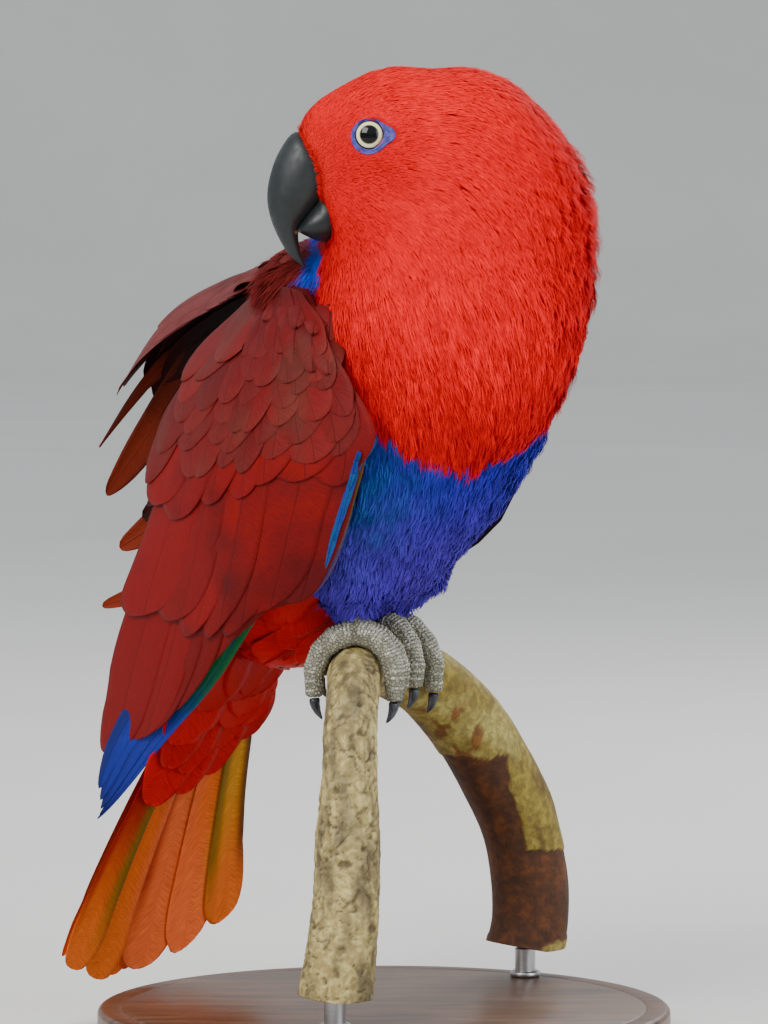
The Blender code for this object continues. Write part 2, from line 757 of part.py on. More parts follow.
def foot(side, branch):
    """Four toes round the branch and the shank above them, with claws of their own."""
    middle, _, _, radius = foot_frame(side)
    top = middle + UP * (radius + TOE_RADIUS)
    sole = ellipsoid("sole", top + UP * 0.6 * MM, [7 * MM, 6.6 * MM, 5.4 * MM],
                     (FORWARD, LEFT, UP), 10)
    shank = tube("shank", [top, top - FORWARD * MM + UP * 6 * MM,
                           top - FORWARD * 2 * MM + UP * 12 * MM],
                 [5 * MM, 4.6 * MM, 4.4 * MM], 2, 3)
    pieces, claws = [sole, shank], []
    for toe in TOES:
        name, way, _, _, reach, down = toe
        points = [toe_point(side, toe, reach * share) for share in (0.08, 0.36, 0.68, 1)]
        points.append(toe_point(side, toe, reach, down * MM))
        radii = [4.3 * MM, 4.1 * MM, TOE_RADIUS, TOE_RADIUS, 2.9 * MM]
        pieces.append(tube("toe", points, radii, 2, 5))
        inward = foot_frame(side)[2] * -way
        root = points[-1]
        line = [root - UP * 0.4 * MM, root - UP * 4 * MM + inward * 0.5 * MM,
                root - UP * 7.4 * MM + inward * 2.6 * MM]
        claw = tube("claw_" + side + "_" + name, line, [2.2 * MM, 1.7 * MM, 0.35 * MM], 1, 4)
        claws.append(claw)
    whole = fused("foot_" + side, pieces)
    whole = cut_clear(whole, branch)
    claws = [cut_clear(cut_clear(claw, whole), branch) for claw in claws]
    return whole, claws


def thigh(side, torso, leg):
    """The feathered upper leg, from the flank down over the shank."""
    middle, _, _, radius = foot_frame(side)
    ankle = middle + UP * (radius + 9 * MM)
    out = -1 if side == "right" else 1
    hip = bird(-4, out * 21, 40)
    knee = bird(-1, out * 19, 26)
    limb = tube("thigh_" + side, [hip, knee, (knee + ankle) / 2, ankle],
                [17 * MM, 16.5 * MM, 13 * MM, 7.5 * MM], 3, 5)
    limb = cut_clear(limb, torso, solver="MANIFOLD")
    return cut_clear(limb, leg, solver="MANIFOLD")


def stand():
    bpy.ops.mesh.primitive_cylinder_add(vertices=36, radius=BASE_RADIUS, depth=BASE_HEIGHT,
                                        location=(0, 0, BASE_HEIGHT / 2))
    base = bpy.context.object
    bpy.context.collection.objects.unlink(base)
    link(base)
    base.name = "stand_base"
    soft = base.modifiers.new("Soft edge", "BEVEL")
    soft.width = 1.6 * MM
    soft.segments = 1
    soft.limit_method = "ANGLE"
    soft.angle_limit = math.radians(60)
    rods = []
    for name, (x, y, _) in (("stand_rod_near", PERCH_LINE[0][0]),
                            ("stand_rod_far", PERCH_LINE[-1][0])):
        low, high = BASE_HEIGHT + GAP, PERCH_CUT_HEIGHT - GAP
        bpy.ops.mesh.primitive_cylinder_add(vertices=12, radius=ROD_RADIUS, depth=high - low,
                                            location=(x * MM, y * MM, (low + high) / 2))
        rod = bpy.context.object
        bpy.context.collection.objects.unlink(rod)
        link(rod)
        rod.name = name
        rods.append(rod)
    return [base, *rods]


def paint(objects, material):
    for obj in objects:
        obj.data.materials.clear()
        obj.data.materials.append(material)
        obj.data.shade_smooth()
        obj.data.set_sharp_from_angle(angle=math.radians(40))


clear_scene()
PARTS = bpy.data.collections.new("eclectus_parrot")
bpy.context.scene.collection.children.link(PARTS)

skull, neck, torso = head_neck_torso()
upper, lower = bill()
for horn_part in (upper, lower):
    skull = cut_clear(skull, horn_part, solver="MANIFOLD")
skull, left_eye = eye(skull, 1, "left")
skull, right_eye = eye(skull, -1, "right")

branch = perch()
right_foot, right_claws = foot("right", branch)
left_foot, left_claws = foot("left", branch)
for one in (branch, right_foot, left_foot):
    torso = cut_clear(torso, one, solver="MANIFOLD")
thighs = [thigh("right", torso, right_foot), thigh("left", torso, left_foot)]

wings = [
    wing(RIGHT_WING, RIGHT_HAND, 1, "wing_right"),
    wing(LEFT_WING, LEFT_HAND, -1, "wing_left"),
]
tail_part = tail()
for blocker in (torso, neck, skull, *thighs):
    wings = [cut_clear(one, blocker, solver="MANIFOLD") for one in wings]
for blocker in (torso, *wings):
    tail_part = cut_clear(tail_part, blocker, solver="MANIFOLD")

base_and_rods = stand()

paint([skull, neck], finish("red_feather", (0.72, 0.03, 0.02), 0.75))
paint([torso, *thighs], finish("blue_feather", (0.02, 0.05, 0.5), 0.75))
paint([*wings, tail_part], finish("maroon_feather", (0.3, 0.02, 0.015), 0.65))
paint([upper, lower], finish("black_horn", (0.02, 0.02, 0.022), 0.35))
paint([right_foot, left_foot], finish("grey_skin", (0.36, 0.38, 0.34), 0.7))
paint([*right_claws, *left_claws], finish("claw_horn", (0.04, 0.045, 0.05), 0.4))
paint([left_eye, right_eye], finish("eye", (0.7, 0.62, 0.3), 0.1))
paint([branch], finish("branch_bark", (0.42, 0.32, 0.18), 0.8))
paint(base_and_rods[:1], finish("stand_wood", (0.1, 0.07, 0.05), 0.45))
paint(base_and_rods[1:], finish("stand_steel", (0.5, 0.5, 0.5), 0.3, 1.0))
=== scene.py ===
import math

import bmesh
import bpy
import numpy as np
from mathutils import Matrix, Vector, noise
from mathutils.bvhtree import BVHTree
from mathutils.kdtree import KDTree


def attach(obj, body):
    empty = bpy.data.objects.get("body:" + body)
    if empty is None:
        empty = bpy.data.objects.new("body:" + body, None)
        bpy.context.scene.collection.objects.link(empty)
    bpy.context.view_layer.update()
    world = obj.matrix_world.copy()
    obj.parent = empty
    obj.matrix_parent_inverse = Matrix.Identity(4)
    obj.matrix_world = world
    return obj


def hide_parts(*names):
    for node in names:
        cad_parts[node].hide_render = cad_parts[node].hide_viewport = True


# Looks of a life-size eclectus parrot, female, on a bent branch and a display stand
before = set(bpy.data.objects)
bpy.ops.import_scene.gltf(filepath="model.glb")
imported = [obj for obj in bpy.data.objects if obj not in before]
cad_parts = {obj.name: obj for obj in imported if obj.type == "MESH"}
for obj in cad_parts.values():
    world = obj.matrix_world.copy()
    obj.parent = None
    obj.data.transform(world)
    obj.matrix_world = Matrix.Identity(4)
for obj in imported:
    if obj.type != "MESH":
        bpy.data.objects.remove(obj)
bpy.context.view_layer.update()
mm = 0.001
print("frame loaded:", len(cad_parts), "nodes")

# The bird's own frame starts between its feet, on top of the branch. Its head is turned back
# over its right shoulder and has a frame of its own.
stance = {
    "heading": 35,
    "perchTop": 134,
    "headMiddle": (5, -22, 290.5),
    "billYaw": 3,
}
heading = math.radians(stance["heading"])
yaw = math.radians(stance["billYaw"])
upWay = np.array((0.0, 0.0, 1.0))
forwardWay = np.array((math.cos(heading), -math.sin(heading), 0))
leftWay = np.array((math.sin(heading), math.cos(heading), 0))
billWay = np.array((-math.cos(yaw), -math.sin(yaw), 0))
headLeft = np.array((math.sin(yaw), -math.cos(yaw), 0))


def birdPoint(points):
    p = np.asarray(points, float)
    turned = p[..., :1] * forwardWay + p[..., 1:2] * leftWay + p[..., 2:] * upWay
    return (turned + upWay * stance["perchTop"]) * mm


def headPoint(points):
    p = np.asarray(points, float)
    turned = p[..., :1] * billWay + p[..., 1:2] * headLeft + p[..., 2:] * upWay
    return (turned + np.array(stance["headMiddle"])) * mm


# Small tools for arrays


def unit(vectors):
    return vectors / np.maximum(np.linalg.norm(vectors, axis=-1, keepdims=True), 1e-12)


def dot(a, b):
    return (a * b).sum(-1, keepdims=True)


def blendStep(low, high, value):
    t = np.clip((value - low) / (high - low), 0, 1)
    return t * t * (3 - 2 * t)


def through(a, b, c, d, t):
    # on the smooth curve from b to c, with a and d as the points beside them
    return (b * 2 + (c - a) * t + (a * 2 - b * 5 + c * 4 - d) * t**2
            + (b * 3 - a - c * 3 + d) * t**3) / 2


def curveAt(points, share):
    # a smooth curve through the points at shares of its length, 0 to 1
    stops = len(points)
    place = np.clip(share, 0, 1) * (stops - 1)
    first = np.minimum(place.astype(int), stops - 2)
    t = (place - first).reshape((-1,) + (1,) * (points.ndim - 1))
    return through(*(points[np.clip(first + k, 0, stops - 1)] for k in (-1, 0, 1, 2)), t)


def tone(red, green, blue):
    # a colour as seen on screen, 0 to 255, as linear light
    c = np.array((red, green, blue), float) / 255
    return np.where(c <= 0.04045, c / 12.92, ((c + 0.055) / 1.055) ** 2.4)


def roughField(points, size, seed=0):
    # smooth numbers from -1 to 1 that change over a distance of about size
    p = np.asarray(points, float) / size
    total = np.zeros(len(p))
    spins = np.random.default_rng(900 + seed)
    for strength, step in ((0.5, 1.0), (0.3, 1.9), (0.2, 3.7)):
        for _ in range(3):
            way = unit(spins.normal(size=3))
            total += strength / 1.7 * np.sin(p @ way * step * 2.6 + spins.uniform(0, 6.3))
    return total


def meshObject(name, points, faces, maps=None, colours=None, smooth=True):
    mesh = bpy.data.meshes.new(name)
    mesh.from_pydata(np.asarray(points, float).tolist(), [], np.asarray(faces).tolist()
                     if isinstance(faces, np.ndarray) else faces)
    corners = np.zeros(len(mesh.loops), np.int32)
    mesh.loops.foreach_get("vertex_index", corners)
    for mapName, places in (maps or {}).items():
        layer = mesh.uv_layers.new(name=mapName)
        layer.data.foreach_set("uv", np.asarray(places, np.float32)[corners].ravel())
    if colours is not None:
        paint = mesh.color_attributes.new(name="coatColour", type="FLOAT_COLOR", domain="POINT")
        rgba = np.ones((len(colours), 4), np.float32)
        rgba[:, :3] = np.clip(colours, 0, 1)
        paint.data.foreach_set("color", rgba.ravel())
    if smooth:
        mesh.shade_smooth()
    return linked(name, mesh)


def linked(name, data):
    obj = bpy.data.objects.new(name, data)
    bpy.context.scene.collection.objects.link(obj)
    return obj


def bakedCopy(obj, name):
    graph = bpy.context.evaluated_depsgraph_get()
    mesh = bpy.data.meshes.new_from_object(obj.evaluated_get(graph))
    bpy.data.objects.remove(obj)
    return linked(name, mesh)


def wholeForm(obj, name, voxel, smoothing):
    # one closed surface over everything in a piece, then smoothed
    whole = obj.modifiers.new("whole", "REMESH")
    whole.mode = "VOXEL"
    whole.voxel_size = voxel * mm
    soft = obj.modifiers.new("soft", "SMOOTH")
    soft.iterations = smoothing
    return bakedCopy(obj, name)


def reshape(mesh, change):
    form = bmesh.new()
    form.from_mesh(mesh)
    change(form)
    form.to_mesh(mesh)
    form.free()


def weld(form):
    # points less than a thousandth of a millimetre apart become one
    bmesh.ops.remove_doubles(form, verts=form.verts, dist=0.001 * mm)


def fixNormals(obj):
    reshape(obj.data, lambda form: bmesh.ops.recalc_face_normals(form, faces=form.faces))


def ringFaces(rows, sides, capped=False):
    # the faces of a tube of rings that all have the same number of points
    faces = []
    for row in range(rows - 1):
        for k in range(sides):
            a, b = row * sides + k, row * sides + (k + 1) % sides
            faces.append((a, b, b + sides, a + sides))
    if capped:
        faces += [tuple(range(sides)), tuple(range((rows - 1) * sides, rows * sides))]
    return faces


def turnedPoints(profile, middle, sides):
    # (radius, height) points turned round an upright axis
    turns = [2 * math.pi * k / sides for k in range(sides)]
    return np.array([(middle[0] + r * math.cos(turn), middle[1] + r * math.sin(turn), z)
                     for r, z in profile for turn in turns])


def doubleFaces(rows, columns):
    # a thin closed piece: an upper sheet, the lower one after it, and the rim between them
    grid = np.arange(rows * columns).reshape(rows, columns)
    half = rows * columns
    quads = np.stack([grid[:-1, :-1], grid[:-1, 1:], grid[1:, 1:], grid[1:, :-1]],
                     axis=-1).reshape(-1, 4)
    rim = np.concatenate([grid[0, :-1], grid[:-1, -1], grid[-1, :0:-1], grid[:0:-1, 0]])
    after = np.roll(rim, -1)
    band = np.stack([after, rim, rim + half, after + half], axis=-1)
    return np.vstack([quads, quads[:, ::-1] + half, band])


def shellOf(*nodes):
    # the outside of some solids, to look for from outside
    points, faces = [], []
    for node in nodes:
        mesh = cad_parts[node].data
        faces += [tuple(k + len(points) for k in p.vertices) for p in mesh.polygons]
        points += [v.co.copy() for v in mesh.vertices]
    return BVHTree.FromPolygons(points, faces)


def spot(points, middle, size):
    away = np.linalg.norm(points / mm - np.array(middle), axis=1)
    return np.exp(-((away / size) ** 2))


def putOn(obj, material, slot, *nodes):
    obj.data.materials.clear()
    obj.data.materials.append(material)
    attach(obj, "root")
    if nodes:
        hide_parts(*nodes)
    return obj


# Materials


def newMaterial(name, **values):
    material = bpy.data.materials.new(name)
    material.use_nodes = True
    tree = material.node_tree
    shader = tree.nodes["Principled BSDF"]
    for key, value in values.items():
        shader.inputs[key.replace("_", " ")].default_value = value
    return material, tree, shader


def addNode(tree, kind, inputs=None, **settings):
    # each input takes another node's output or a plain value
    made = tree.nodes.new(kind)
    for key, value in settings.items():
        setattr(made, key, value)
    for key, value in (inputs or {}).items():
        socket = made.inputs[key]
        if isinstance(value, bpy.types.NodeSocket):
            tree.links.new(value, socket)
        elif socket.type == "RGBA" and len(value) == 3:
            socket.default_value = (*value, 1)
        else:
            socket.default_value = value
    return made


def newGroup(name, inputs, outputs, family="ShaderNodeTree"):
    group = bpy.data.node_groups.new(name, family)
    for label, kind, value in inputs:
        socket = group.interface.new_socket(label, in_out="INPUT", socket_type=kind)
        if value is not None:
            socket.default_value = value
    for label, kind in outputs:
        group.interface.new_socket(label, in_out="OUTPUT", socket_type=kind)
    return group, group.nodes.new("NodeGroupInput"), group.nodes.new("NodeGroupOutput")


def makeBarbGroup():
    # fine slanting barbs and the shaft of a feather, from a map in millimetres across and along
    group, given, out = newGroup(
        "featherBarbs",
        [("Barb Map", "NodeSocketVector", None), ("Slant", "NodeSocketFloat", 0.8),
         ("Pitch", "NodeSocketFloat", 0.5), ("Shaft Width", "NodeSocketFloat", 0.35)],
        [("Shade", "NodeSocketFloat"), ("Height", "NodeSocketFloat"), ("Shaft", "NodeSocketFloat")],
    )
    apart = addNode(group, "ShaderNodeSeparateXYZ", {0: given.outputs["Barb Map"]})
    side = addNode(group, "ShaderNodeMath", {0: apart.outputs[0]}, operation="ABSOLUTE")
    lean = addNode(group, "ShaderNodeMath", {0: side.outputs[0], 1: given.outputs["Slant"]},
                   operation="MULTIPLY")
    row = addNode(group, "ShaderNodeMath", {0: apart.outputs[1], 1: lean.outputs[0]},
                  operation="SUBTRACT")
    thin = addNode(group, "ShaderNodeMath", {0: apart.outputs[0], 1: 0.12}, operation="MULTIPLY")
    place = addNode(group, "ShaderNodeCombineXYZ", {0: thin.outputs[0], 1: row.outputs[0]})
    rate = addNode(group, "ShaderNodeMath", {0: 1.0, 1: given.outputs["Pitch"]},
                   operation="DIVIDE")
    lines = addNode(group, "ShaderNodeTexNoise",
                    {"Vector": place.outputs[0], "Scale": rate.outputs[0], "Detail": 3.0,
                     "Roughness": 0.6})
    shaft = addNode(group, "ShaderNodeMapRange",
                    {"Value": side.outputs[0], "From Min": 0.0,
                     "From Max": given.outputs["Shaft Width"], "To Min": 1.0, "To Max": 0.0},
                    interpolation_type="SMOOTHSTEP")
    rise = addNode(group, "ShaderNodeMath", {0: lines.outputs["Fac"], 1: shaft.outputs[0]},
                   operation="ADD")
    group.links.new(lines.outputs["Fac"], out.inputs["Shade"])
    group.links.new(rise.outputs[0], out.inputs["Height"])
    group.links.new(shaft.outputs[0], out.inputs["Shaft"])
    return group


def makeMottleGroup():
    # a patchy mask with soft edges, for stains, bark and wear
    group, given, out = newGroup(
        "mottle",
        [("Vector", "NodeSocketVector", None), ("Scale", "NodeSocketFloat", 60.0),
         ("Low", "NodeSocketFloat", 0.4), ("High", "NodeSocketFloat", 0.65)],
        [("Mask", "NodeSocketFloat"), ("Height", "NodeSocketFloat")],
    )
    cloud = addNode(group, "ShaderNodeTexNoise",
                    {"Vector": given.outputs["Vector"], "Scale": given.outputs["Scale"],
                     "Detail": 6.0, "Roughness": 0.62, "Distortion": 0.4})
    mask = addNode(group, "ShaderNodeMapRange",
                   {"Value": cloud.outputs["Fac"], "From Min": given.outputs["Low"],
                    "From Max": given.outputs["High"]}, interpolation_type="SMOOTHSTEP")
    group.links.new(mask.outputs[0], out.inputs["Mask"])
    group.links.new(cloud.outputs["Fac"], out.inputs["Height"])
    return group


barbGroup = makeBarbGroup()
mottleGroup = makeMottleGroup()


def useGroup(tree, group, inputs):
    return addNode(tree, "ShaderNodeGroup", inputs, node_tree=group)


def mixColours(tree, factor, first, second, how="MIX"):
    made = addNode(tree, "ShaderNodeMix", {0: factor, 6: first, 7: second}, data_type="RGBA",
                   blend_type=how)
    return made.outputs[2]


def objectPlace(tree):
    return addNode(tree, "ShaderNodeTexCoord").outputs["Object"]


def mottled(tree, scale, low, high):
    return useGroup(tree, mottleGroup, {"Vector": objectPlace(tree), "Scale": scale, "Low": low,
                                        "High": high})


def colourAndBump(tree, shader, colour, height, strength, depth):
    # the bump's depth is in millimetres
    tree.links.new(colour, shader.inputs["Base Color"])
    bump = addNode(tree, "ShaderNodeBump", {"Strength": strength, "Distance": depth * mm,
                                            "Height": height})
    tree.links.new(bump.outputs[0], shader.inputs["Normal"])


def coatMaterial(name, softness):
    # body feathers take their colour from the piece, with a faint change from place to place
    material, tree, shader = newMaterial(name, Roughness=softness, Specular_IOR_Level=0.06)
    own = addNode(tree, "ShaderNodeAttribute", attribute_name="coatColour")
    patches = mottled(tree, 240.0, 0.35, 0.7)
    darker = mixColours(tree, 1.0, own.outputs["Color"], (0.92, 0.91, 0.93), "MULTIPLY")
    colour = mixColours(tree, patches.outputs["Mask"], darker, own.outputs["Color"])
    tree.links.new(colour, shader.inputs["Base Color"])
    return material


def vaneMaterial(name, roughness, pitch, depth, shaftTone):
    # wing and tail feathers: barbs slant from the shaft, and the weave catches the light
    material, tree, shader = newMaterial(name, Roughness=roughness, Specular_IOR_Level=0.14)
    own = addNode(tree, "ShaderNodeAttribute", attribute_name="coatColour")
    barbs = useGroup(tree, barbGroup, {
        "Barb Map": addNode(tree, "ShaderNodeUVMap", uv_map="barbMap").outputs[0],
        "Slant": 0.8, "Pitch": pitch, "Shaft Width": 0.3,
    })
    fleck = addNode(tree, "ShaderNodeMapRange", {"Value": barbs.outputs["Shade"],
                                                 "From Min": 0.35, "From Max": 0.68})
    darker = mixColours(tree, 1.0, own.outputs["Color"], (0.66, 0.62, 0.64), "MULTIPLY")
    woven = mixColours(tree, fleck.outputs[0], darker, own.outputs["Color"])
    shaftShade = mixColours(tree, 1.0, own.outputs["Color"], shaftTone, "MULTIPLY")
    colour = mixColours(tree, barbs.outputs["Shaft"], woven, shaftShade)
    colourAndBump(tree, shader, colour, barbs.outputs["Height"], depth, 0.25)
    return material


coatFinish = coatMaterial("bodyFeather", 0.62)
vaneFinish = vaneMaterial("wingFeather", 0.56, 0.5, 0.6, (0.5, 0.44, 0.46))
tailFinish = vaneMaterial("tailFeather", 0.5, 0.6, 0.2, (0.78, 0.7, 0.7))
print("feather materials made")


# Skin: the flesh of head, neck, body and thighs as one surface, under the coat

skinSizes = {
    "voxel": 1.5,
    "closing": 0.45,
    "coatDepth": 3.4,
    "faceDepth": 0.45,
    "breastSlim": 3.5,
    "slimPlace": (60, -10, 210),
    "slimReach": 18,
    "billFade": (14, 70),
    "eyeFade": (6, 34),
    "eyeRegion": 14,
    "underWing": (1.0, 16),
    "smoothing": 6,
}
fleshNodes = ("head", "neck", "torso", "thigh_left", "thigh_right")
billRoot = headPoint((24, 0, -2))
eyePlaces = {side: headPoint((10.2, side * 17.4, 9.0)) for side in (-1, 1)}
eyeSizes = {
    "ball": 6.4,
    "iris": 4.4,
    "pupil": 2.93,
    "lids": 4.6,
    "ringReach": 5.6,
    "ringPoint": 3.0,
}


def eyeWays(side):
    # out of the eye, back towards the nape, and up
    axis = unit(headLeft * side + billWay * 0.14 + upWay * 0.1)
    back = unit(-billWay + axis * float(np.dot(billWay, axis)))
    up = np.cross(axis, back)
    return axis, back, up * (1 if up[2] > 0 else -1)


def ringReach(turn):
    # how far the bare ring reaches at each turn from the point towards the nape
    point = np.maximum(np.cos(turn), 0) ** 11 * eyeSizes["ringPoint"]
    return eyeSizes["ringReach"] - 0.55 * np.sin(turn) + 0.25 * np.maximum(-np.cos(turn), 0) + point


def outsideRings(places):
    clear = np.ones(len(places), bool)
    for side, middle in eyePlaces.items():
        back, up = eyeWays(side)[1:]
        offset = (places - middle) / mm
        across, over = offset @ back, offset @ up
        turn = np.arctan2(over, across)
        reach = ringReach(turn) + 0.9 * np.maximum(-np.cos(turn), 0)
        close = np.linalg.norm(offset, axis=1) < skinSizes["eyeRegion"]
        clear &= ~(close & (np.hypot(across, over) < reach))
    return clear


def billGap(points):
    return np.linalg.norm(points - billRoot, axis=1) / mm


def eyeGap(points):
    return np.minimum(*(np.linalg.norm(points - p, axis=1) / mm for p in eyePlaces.values()))


def coatDepth(points):
    # the coat is thin round the bill and eyes, and deep on neck and breast
    near = np.minimum(blendStep(*skinSizes["billFade"], billGap(points)),
                      blendStep(*skinSizes["eyeFade"], eyeGap(points)))
    low, high = skinSizes["faceDepth"], skinSizes["coatDepth"]
    slim = skinSizes["breastSlim"] * spot(points, skinSizes["slimPlace"], skinSizes["slimReach"])
    return (low + (high - low) * near + slim) * mm


def keepLargest(form):
    # every shell but the largest goes
    seen, shells = set(), []
    for start in form.verts:
        if start in seen:
            continue
        shell, edge = [start], [start]
        seen.add(start)
        while edge:
            here = edge.pop()
            for line in here.link_edges:
                other = line.other_vert(here)
                if other not in seen:
                    seen.add(other)
                    shell.append(other)
                    edge.append(other)
        shells.append(shell)
    keep = set(max(shells, key=len))
    bmesh.ops.delete(form, geom=[v for v in form.verts if v not in keep], context="VERTS")


def makeSkin():
    gathered = bmesh.new()
    for node in fleshNodes:
        gathered.from_mesh(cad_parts[node].data)
    weld(gathered)
    mesh = bpy.data.meshes.new("flesh")
    gathered.to_mesh(mesh)
    gathered.free()
    flesh = linked("flesh", mesh)
    close = flesh.modifiers.new("closing", "DISPLACE")
    close.strength = skinSizes["closing"] * mm
    close.mid_level = 0
    skin = wholeForm(flesh, "skin", skinSizes["voxel"], skinSizes["smoothing"])
    reshape(skin.data, keepLargest)
    return skin


def vertexArrays(mesh):
    points = np.zeros(len(mesh.vertices) * 3, np.float32)
    normals = np.zeros(len(mesh.vertices) * 3, np.float32)
    mesh.vertices.foreach_get("co", points)
    mesh.vertices.foreach_get("normal", normals)
    return points.reshape(-1, 3).astype(float), normals.reshape(-1, 3).astype(float)


skin = makeSkin()
outerPoints, outerNormals = vertexArrays(skin.data)
depths = coatDepth(outerPoints) + skinSizes["closing"] * mm
skin.data.vertices.foreach_set("co", (outerPoints - outerNormals * depths[:, None]).ravel())
skin.data.update()
skinPoints, skinNormals = vertexArrays(skin.data)
print("skin made:", len(skinPoints), "points")


# Markings: colours of the coat and the skin, by place

coatTones = {
    "scarlet": tone(230, 4, 20),
    "crownSheenScarlet": tone(248, 24, 28),
    "deepScarlet": tone(184, 4, 9),
    "billScarlet": tone(250, 56, 46),
    "royalBlue": tone(44, 40, 172),
    "deepBlue": tone(34, 24, 116),
    "mantleBlue": tone(18, 74, 200),
    "teal": tone(20, 92, 158),
    "napePurple": tone(70, 6, 30),
    "violet": tone(88, 56, 172),
    "ventRed": tone(176, 6, 6),
    "backMaroon": tone(104, 24, 22),
}
# The lower edge of the red: turn round the neck in degrees (0 towards the viewer, 90 to the
# right) and height above the base in millimetres
bibEdge = [(-180, 250), (-125, 266), (-100, 262), (-88, 250), (-76, 240), (-62, 231),
           (-45, 220), (-30, 212), (-15, 204), (0, 200), (15, 198), (30, 200), (45, 205),
           (60, 215), (80, 233), (100, 243), (145, 247), (180, 250)]
neckAxis = (20, -12)


def bibHeight(points):
    x = points[:, 0] / mm - neckAxis[0]
    y = points[:, 1] / mm - neckAxis[1]
    turn = np.degrees(np.arctan2(x, -y))
    stops = np.array(bibEdge, float)
    return np.interp(turn, stops[:, 0], stops[:, 1])


def inBird(points):
    flat = points / mm - upWay * stance["perchTop"]
    return flat @ forwardWay, flat @ leftWay, flat[:, 2]


def mixTone(first, second, share):
    return first * (1 - share[:, None]) + second * share[:, None]


def mantleTone(patchy):
    return mixTone(coatTones["mantleBlue"], coatTones["royalBlue"], np.clip(0.3 + patchy, 0, 0.8))


def coatColour(points, normals):
    forward, left, up = inBird(points)
    height = points[:, 2] / mm
    patchy = roughField(points, 9 * mm, 1)
    fine = roughField(points, 3 * mm, 2)
    # painted sheen: the red turns lighter towards the top of the crown, where light from above falls
    red = mixTone(coatTones["scarlet"], coatTones["crownSheenScarlet"],
                  blendStep(292, 324, height + 5 * patchy))
    lowBib = blendStep(40, 4, height - bibHeight(points)) * 0.75
    red = mixTone(red, coatTones["deepScarlet"], lowBib + 0.12 * (patchy > 0.3))
    atBill = blendStep(17, 11, billGap(points) + 2 * patchy)
    red = mixTone(red, coatTones["billScarlet"], 0.5 * atBill)
    cheek = spot(points, (-6, -40, 288), 15)
    red = mixTone(red, coatTones["deepScarlet"], 0.3 * cheek)
    red = mixTone(red, coatTones["napePurple"], 0.4 * spot(points, (64, -20, 262), 10))
    blue = mixTone(coatTones["royalBlue"], coatTones["deepBlue"],
                   np.clip(0.35 + 0.45 * patchy, 0, 1))
    flank = spot(points, (-12, -48, 190), 22) + spot(points, (-8, -46, 160), 16)
    blue = mixTone(blue, coatTones["teal"], np.clip(flank * (0.75 + 0.5 * fine), 0, 0.85))
    blue = mixTone(blue, coatTones["violet"], 0.55 * blendStep(200, 158, height + 8 * patchy))
    behind = blendStep(1, -1, 0.8 * (forward + 10) + 0.6 * (up - 14))
    top = blendStep(-0.2, 0.4, normals @ (upWay * 0.5 - forwardWay))
    rear = mixTone(coatTones["ventRed"], coatTones["backMaroon"], top)
    body = mixTone(blue, rear, behind)
    # the back is maroon, with blue only where the mantle shows under the bill and on the nape
    rearward = 0.37 * (up - 110) - 0.93 * (forward + 10) + 2 * fine
    aside = points[:, 0] / mm + 1.2 * fine
    bulge = blendStep(-19.9, -20.2, aside) * blendStep(266, 265, height)
    dorsal = np.maximum(blendStep(-1, 1, rearward), bulge * blendStep(215, 222, height))
    body = mixTone(body, coatTones["backMaroon"], dorsal)
    patch = blendStep(-28, -26, aside - 0.35 * (height - 250)) * blendStep(252, 255, height + fine)
    nape = blendStep(8, 12, left) * blendStep(238, 243, height + 2 * fine)
    body = mixTone(body, mantleTone(patchy), dorsal * np.maximum(patch, nape))
    return mixTone(body, red, blendStep(-0.3, 0.3, height - bibHeight(points)) * (1 - bulge))


# painted shade: the skin under the coat takes the coat's colours at 0.6, so the gaps between tufts
# look shaded
skinColours = coatColour(skinPoints, skinNormals) * 0.6
paint = skin.data.color_attributes.new(name="coatColour", type="FLOAT_COLOR", domain="POINT")
paint.data.foreach_set("color", np.hstack([skinColours, np.ones((len(skinColours), 1))])
                       .astype(np.float32).ravel())
skin.data.shade_smooth()
putOn(skin, coatFinish, "feather_red", *fleshNodes)


# Coat: tapered tufts rooted on the skin, in feather-like clumps

coatSizes = {
    "headFrom": (238, 264),
    "bibEdge": (-8, -2),
    "shortAtBill": (40, 22),
    "shortAtEye": (19, 10),
    "sparedUnderWing": 0.85,
    "leastWeight": 1e-9,
    "seed": 31,
    "body": {"length": 9.0, "width": 0.52, "count": 72000, "inClump": 16, "gather": 0.3,
             "sway": 0.1, "uneven": 0.36, "rootShade": 0.42, "roll": 26},
    "bib": {"length": 10.6, "width": 0.45, "count": 57000, "inClump": 12, "gather": 0.36,
            "sway": 0.1, "uneven": 0.42, "rootShade": 0.32, "roll": 26},
    "head": {"length": 5.8, "width": 0.35, "count": 70000, "inClump": 11, "gather": 0.16,
             "sway": 0.05, "uneven": 0.18, "rootShade": 0.7, "roll": 14},
    "face": {"length": 2.3, "width": 0.24, "count": 48000, "inClump": 8, "gather": 0.05,
             "sway": 0.04, "uneven": 0.1, "rootShade": 0.88, "roll": 8},
}


def unwrapPlace(points):
    # the skin unrolled round a line from vent to crown
    low = birdPoint((-62, 0, -8))
    axis = birdPoint((20, 0, 190)) - low
    share = (points - low) @ axis / (axis @ axis)
    centre = low + share[:, None] * axis
    offset = points - centre
    turn = np.arctan2(offset @ leftWay, offset @ forwardWay)
    return np.stack([0.02 + 0.96 * (turn / (2 * math.pi) + 0.5),
                     0.02 + 0.96 * np.clip(share, 0, 1.05) / 1.05], axis=1)


def lie(points, normals):
    # feathers run back from the bill over the head, then down the neck and body
    away = points - billRoot
    far = np.linalg.norm(away, axis=1, keepdims=True) / mm
    pull = (far / 62) ** 3
    down = -(forwardWay * 0.45 + upWay)
    neckDown = -upWay + np.array((0.1, -0.05, 0))
    onBody = blendStep(30, -20, points[:, 2:] / mm - 200)
    below = unit(neckDown * (1 - onBody) + down * onBody)
    way = unit(away) / (1 + pull) + below * pull / (1 + pull)
    return unit(way - normals * dot(way, normals))


